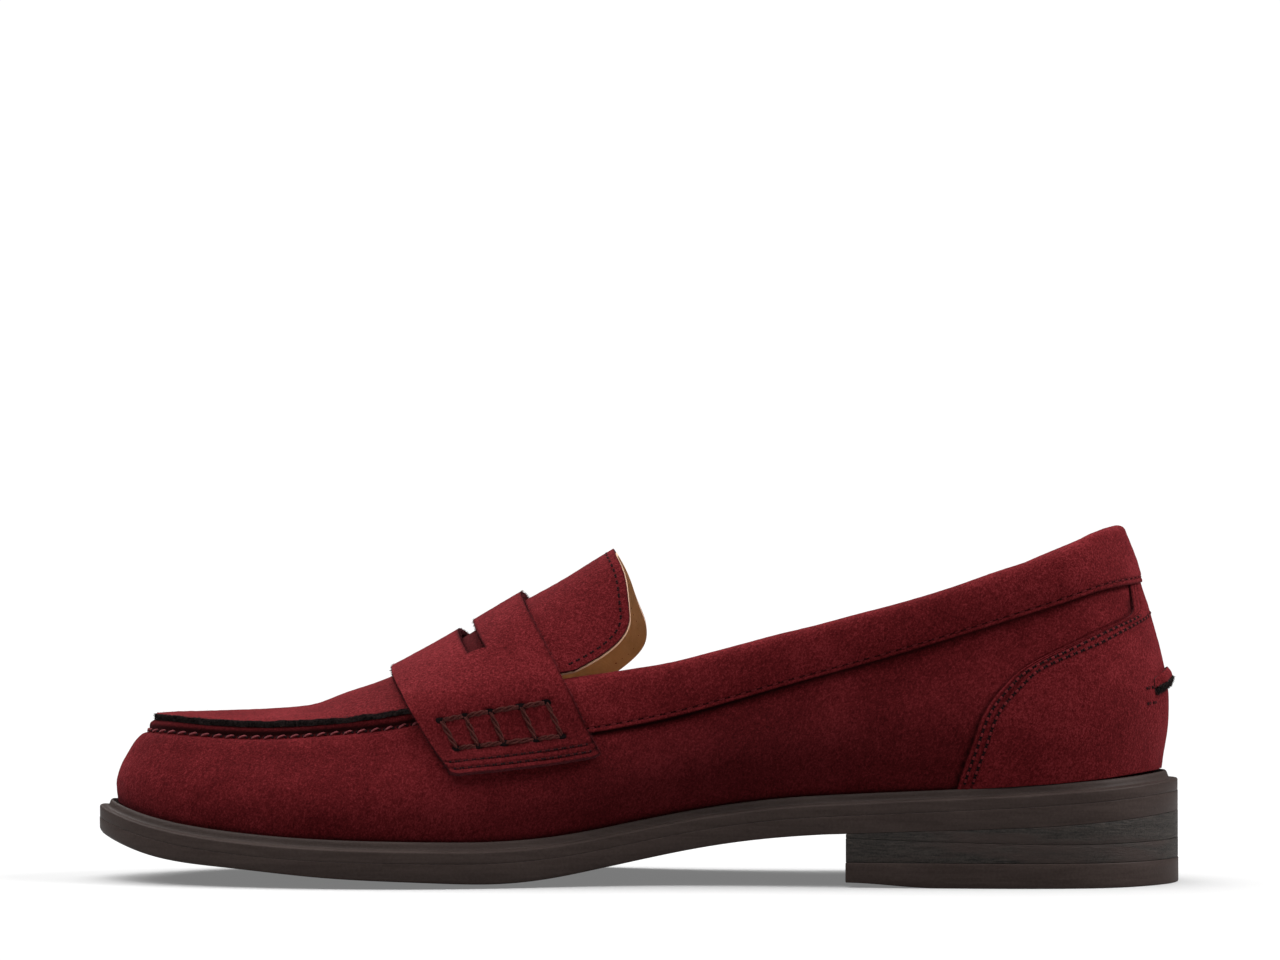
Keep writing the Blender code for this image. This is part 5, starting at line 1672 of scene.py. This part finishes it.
# --------------------------------------------------------------------------- apron and tongue
@dataclass
class Instep:
    """Apron in front of the strap, and the tongue that comes out behind it."""

    last: Last
    wear: Wardrobe
    strap: SaddleStrap
    lift: float = 0.5
    apron_lift: float = 0.22
    tip_back: float = 0.4
    tip_rise: float = -0.3
    stitch_inset: float = 2.1
    apron_half: float = 1.03    # the apron's raw edge, in units of w
    fringe: int = 5200          # fibres along that edge
    tongue_half: float = 0.955  # the tongue's long edges, in units of w
    plug_suede: float = 1.55
    tongue_suede: float = 1.2
    lining: float = 0.9
    bend_point: Triple = (-27.5, 0.0, 70.5)
    bend_slope: Triple = (0.89, 0.0, 0.454)
    tongue_end: Pairs = ((-0.97, -17.2), (-0.91, -8.0), (-0.85, -3.0), (-0.73, -1.5), (-0.53, -2.7),
                         (-0.25, -5.2), (0.0, -6.0), (0.25, -5.3), (0.5, -3.3), (0.7, -1.1),
                         (0.82, 0.2), (0.89, -1.6), (0.97, -9.0))

    def build_apron(self) -> None:
        """The plug: a sheet on the instep whose raw edge turns up a little all round."""
        tip = self.last.tip()
        run = 0.35 + 72.0 * np.linspace(0, 1, 200) ** 1.5
        u = np.linspace(-1, 1, 190)
        w = np.sign(u) * (1 - (1 - np.abs(u)) ** 1.25) * self.apron_half
        x, w = np.meshgrid(tip + run, w)
        line = np.stack([x, w * 0, w * 0], -1)
        rough = 0.006 * ripple(line, 1.5, 61) + 0.004 * ripple(line, 6.0, 66)
        rough = rough * bump_at(np.abs(w), self.apron_half, 0.03)
        base = self.last.instep(x, w + np.sign(w) * rough)
        base[..., 0] += self.tip_back * bump_at(x, tip, 7.0)
        edge = smoothstep(np.abs(w), 0.86, self.apron_half)
        relief = self.apron_lift + self.plug_suede + (0.10 * ripple(line, 5.0, 67) - 0.16) * edge
        relief = relief + self.tip_rise * bump_at(x, tip, 3.5) + 0.16 * ripple(base, 30, 62) \
            + 0.02 * ripple(base, 2.0, 63, 20)
        piece = suede_piece("apron_suede", raised(base, relief), self.plug_suede, self.wear,
                            0.55 * bump_at(np.abs(w), self.apron_half, 0.012), Finish.RAW)
        set_piece(piece, "suede", "apron")
        self.fringe_apron(tip)

    def fringe_apron(self, tip: float) -> None:
        """Black fibres along the apron's raw edge."""
        draw, count = np.random.default_rng(64), self.fringe
        x = tip + 0.4 + 68 * draw.uniform(0, 1, count) ** 1.4
        side = draw.choice([-1.0, 1.0], count)
        point = self.last.instep(x, side * self.apron_half)
        point[:, 0] += self.tip_back * bump_at(x, tip, 7.0)
        point[:, 2] += self.apron_lift - 0.2 + draw.uniform(0.0, self.plug_suede, count) \
            + self.tip_rise * bump_at(x, tip, 3.5)
        t = np.where(side < 0, self.last.top_knot(x, True), self.last.top_knot(x, False))
        plan = self.last.outline.normal(t)
        aim = np.column_stack([plan, np.full(count, -0.15)])
        point[:, :2] += plan * 0.1
        set_piece(fibres("apron_fringe", point, aim, 0.85, 0.15, 65, self.wear(Finish.RAW)), "suede")

    def tongue_grid(self, shrink: float, first: float) -> Tuple[Array, Array]:
        """x and w over the tongue, from under the strap to its rounded free end."""
        u = np.linspace(-1, 1, 170)
        w = np.sign(u) * (1 - (1 - np.abs(u)) ** 1.35) * self.tongue_half
        end = Profile(self.tongue_end)(w)
        share = 1 - (1 - np.linspace(0, 1, 130)) ** 1.3
        x = first * (1 - share) + end[:, None] * share
        return x - shrink, np.repeat(w[:, None], 130, 1) * (1 - shrink * 0.02)

    def bend(self, piece: Piece, slot: str, *nodes: str) -> None:
        """Bake a piece of the tongue's transform into its mesh, and let it stand for parts of the model.
        """
        fold, slope = np.array(self.bend_point) - CENTRE, np.array(self.bend_slope)
        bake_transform(piece)
        if nodes:
            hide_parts(*nodes)
        log.info("%s: %d faces", piece.name, len(piece.data.polygons))

    def build_tongue(self) -> None:
        """Tongue with a raw edge, its stitch line, and the tan lining on its underside."""
        x, w = self.tongue_grid(0.0, -56.0)
        base = self.last.instep(x, w)
        edge_w = 1 - smoothstep(self.tongue_half - np.abs(w), 0.0, 0.05)
        relief = (self.lift + self.tongue_suede + 0.14 * ripple(base, 24, 71)
                  + 0.02 * ripple(base, 1.9, 72, 20) - 0.15 * edge_w)
        face = raised(base, relief)
        away = np.linalg.norm(face - face[:, -1:], axis=-1)
        # Painted shade at the stitch line and under the strap's rear edge; darker along the free edge.
        painted_shade_and_dye = 0.15 * bump_at(away, self.stitch_inset, 0.5) + 0.3 * bump_at(away, 0, 0.3) \
            + 0.55 * (1 - smoothstep(x, -38, -31))
        piece = suede_piece("tongue_suede", face, self.tongue_suede, self.wear, painted_shade_and_dye)
        self.bend(piece, "suede", "tongue", "tongue_root")

        x, w = self.tongue_grid(-0.10, -44.0)
        base = self.last.instep(x, w)
        lined = sheet_piece("tongue_lining_leather",
                            raised(base, self.lift - 0.02 + 0.14 * ripple(base, 24, 71)), self.lining,
                            [self.wear(Finish.LINING), self.wear(Finish.LINING_EDGE)], 1, 0.15)
        self.bend(lined, "tan_lining", "tongue_lining")
        self.stitch_tongue(face)

    def stitch_tongue(self, face: Array) -> None:
        """Row of sunken dark stitches inside the free edge, and the same on the lining."""
        path, out = inset_line(face[:, ::-1], normals_of(face)[:, ::-1], self.stitch_inset, 19, 0.04)
        keep = slice(6, -6)
        row = StitchRow(2.0, 0.6, 0.20, 0.0, holes=0.34)
        stitched = row.build("tongue_stitches", path[keep] - out[keep] * 0.1, out[keep],
                             self.wear(Finish.DARK_STITCH))
        pierced = row.pierce("tongue_stitch_holes", path[keep], out[keep], self.wear(Finish.HOLE_SHADE))
        under = row.build("tongue_lining_stitches", path[keep] - out[keep] * 2.1, -out[keep],
                          self.wear(Finish.STITCH))
        for piece, slot in ((stitched, "sewing_thread"), (pierced, "suede"),
                            (under, "sewing_thread")):
            self.bend(piece, slot)

    def build_lining(self) -> None:
        """Smooth lining under the apron."""
        tip = self.last.tip()
        x, w = np.meshgrid(np.linspace(tip + 9, -44, 90), np.linspace(-0.8, 0.8, 60))
        base = self.last.instep(x, w)
        piece = sheet_piece("apron_lining_leather", raised(base, -0.35), 1.0,
                            [self.wear(Finish.LINING)])
        set_piece(piece, "tan_lining", "apron_lining")

    def build(self) -> None:
        """Build apron, lining and tongue."""
        self.build_apron()
        self.build_lining()
        self.build_tongue()


# ------------------------------------------------------------------------------------- studio
@dataclass
class Studio:
    """Pale floor, soft lights and the camera."""

    distance: float = 1500.0
    height: float = 100.6
    yaw: float = 4.0
    focal: float = 167.06
    surround: float = 0.11
    overhead: float = 54.0
    heel_side: float = 11.0
    room: float = 1.05          # brightness of the white room where the camera looks at it
    floor_glow: float = 0.19    # added to the floor for the camera only

    def build_floor(self) -> None:
        """A pale matt floor under and round the shoe; past its edge there is only the white room."""
        count, half = 9, 480.0
        x, y = np.meshgrid(np.linspace(-half, half, count), np.linspace(-half, half, count))
        n = Nodes("pale_floor", (0.44, 0.44, 0.44), 0.9)
        n.set("Specular IOR Level", 0.05)
        n.plug(n.ramp(n.noise(6, 2), [(0.3, (0.43, 0.43, 0.43)), (0.7, (0.45, 0.45, 0.45))]),
               "Base Color")
        seen = n.tree.nodes.new("ShaderNodeLightPath").outputs["Is Camera Ray"]
        n.set("Emission Color", (1.0, 1.0, 1.0, 1.0))
        n.plug(n.maths("MULTIPLY", seen, self.floor_glow), "Emission Strength")
        grid = np.stack([x, y, np.zeros(x.shape)], -1)
        link_mesh("studio_floor", grid, grid_quads(count, count), [n.material])

    def add_light(self, name: str, place: Triple, aim: Triple,
                  size: float, power: float) -> None:
        """A square soft box at place, turned towards aim, all in metres."""
        data = bpy.data.lights.new(name, "AREA")
        data.size = size
        data.energy = power
        made = in_scene(name, data)
        made.location = place
        direction = np.array(aim) - np.array(place)
        made.rotation_euler = Vector(direction).to_track_quat("-Z", "Y").to_euler()

    def build_lights(self) -> None:
        """White surround, one large box overhead and a smaller one at the heel's side."""
        world = bpy.data.worlds.new("white_studio")
        world.use_nodes = True
        tree = world.node_tree
        path = tree.nodes.new("ShaderNodeLightPath")
        strength = tree.nodes.new("ShaderNodeMapRange")
        strength.inputs["To Min"].default_value = self.surround
        strength.inputs["To Max"].default_value = self.room
        tree.links.new(path.outputs["Is Camera Ray"], strength.inputs["Value"])
        tree.links.new(strength.outputs["Result"], tree.nodes["Background"].inputs["Strength"])
        tree.nodes["Background"].inputs["Color"].default_value = (1, 1, 1, 1)
        bpy.context.scene.world = world
        self.add_light("overhead_box", (-0.42, 0.22, 1.3), (0.0, 0.0, 0.0), 2.1, self.overhead)
        self.add_light("heel_side_box", (0.85, 0.0, 0.75), (0.12, 0.0, 0.06), 0.5, self.heel_side)

    def build_camera(self) -> None:
        """A long lens at collar height, turned a few degrees towards the toe."""
        data = bpy.data.cameras.new("camera")
        data.lens = self.focal
        data.sensor_width = 36.0
        data.clip_start, data.clip_end = 0.05, 60.0
        camera = in_scene("camera", data)
        turn = math.radians(self.yaw)
        place = np.array([self.distance * math.sin(turn), -self.distance * math.cos(turn), self.height])
        camera.location = (place - CENTRE) * MM
        camera.rotation_euler = (math.pi / 2, 0.0, turn)
        bpy.context.scene.camera = camera

    def build(self) -> None:
        """Build the studio."""
        self.build_floor()
        self.build_lights()
        self.build_camera()
        bpy.context.scene.view_settings.view_transform = "Standard"


def main() -> None:
    """Build every sub-assembly in the order a shoe is put together."""
    logging.basicConfig(level=logging.INFO, format="%(message)s")
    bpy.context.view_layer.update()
    last, wear = Last(), Wardrobe()
    SoleUnit(last, wear).build(frame["nodes"])
    Quarters(last, wear).build()
    strap = SaddleStrap(last, wear)
    strap.build()
    Collar(last, wear, strap).build()
    Instep(last, wear, strap).build()
    Studio().build()


if __name__ == "__main__":
    main()
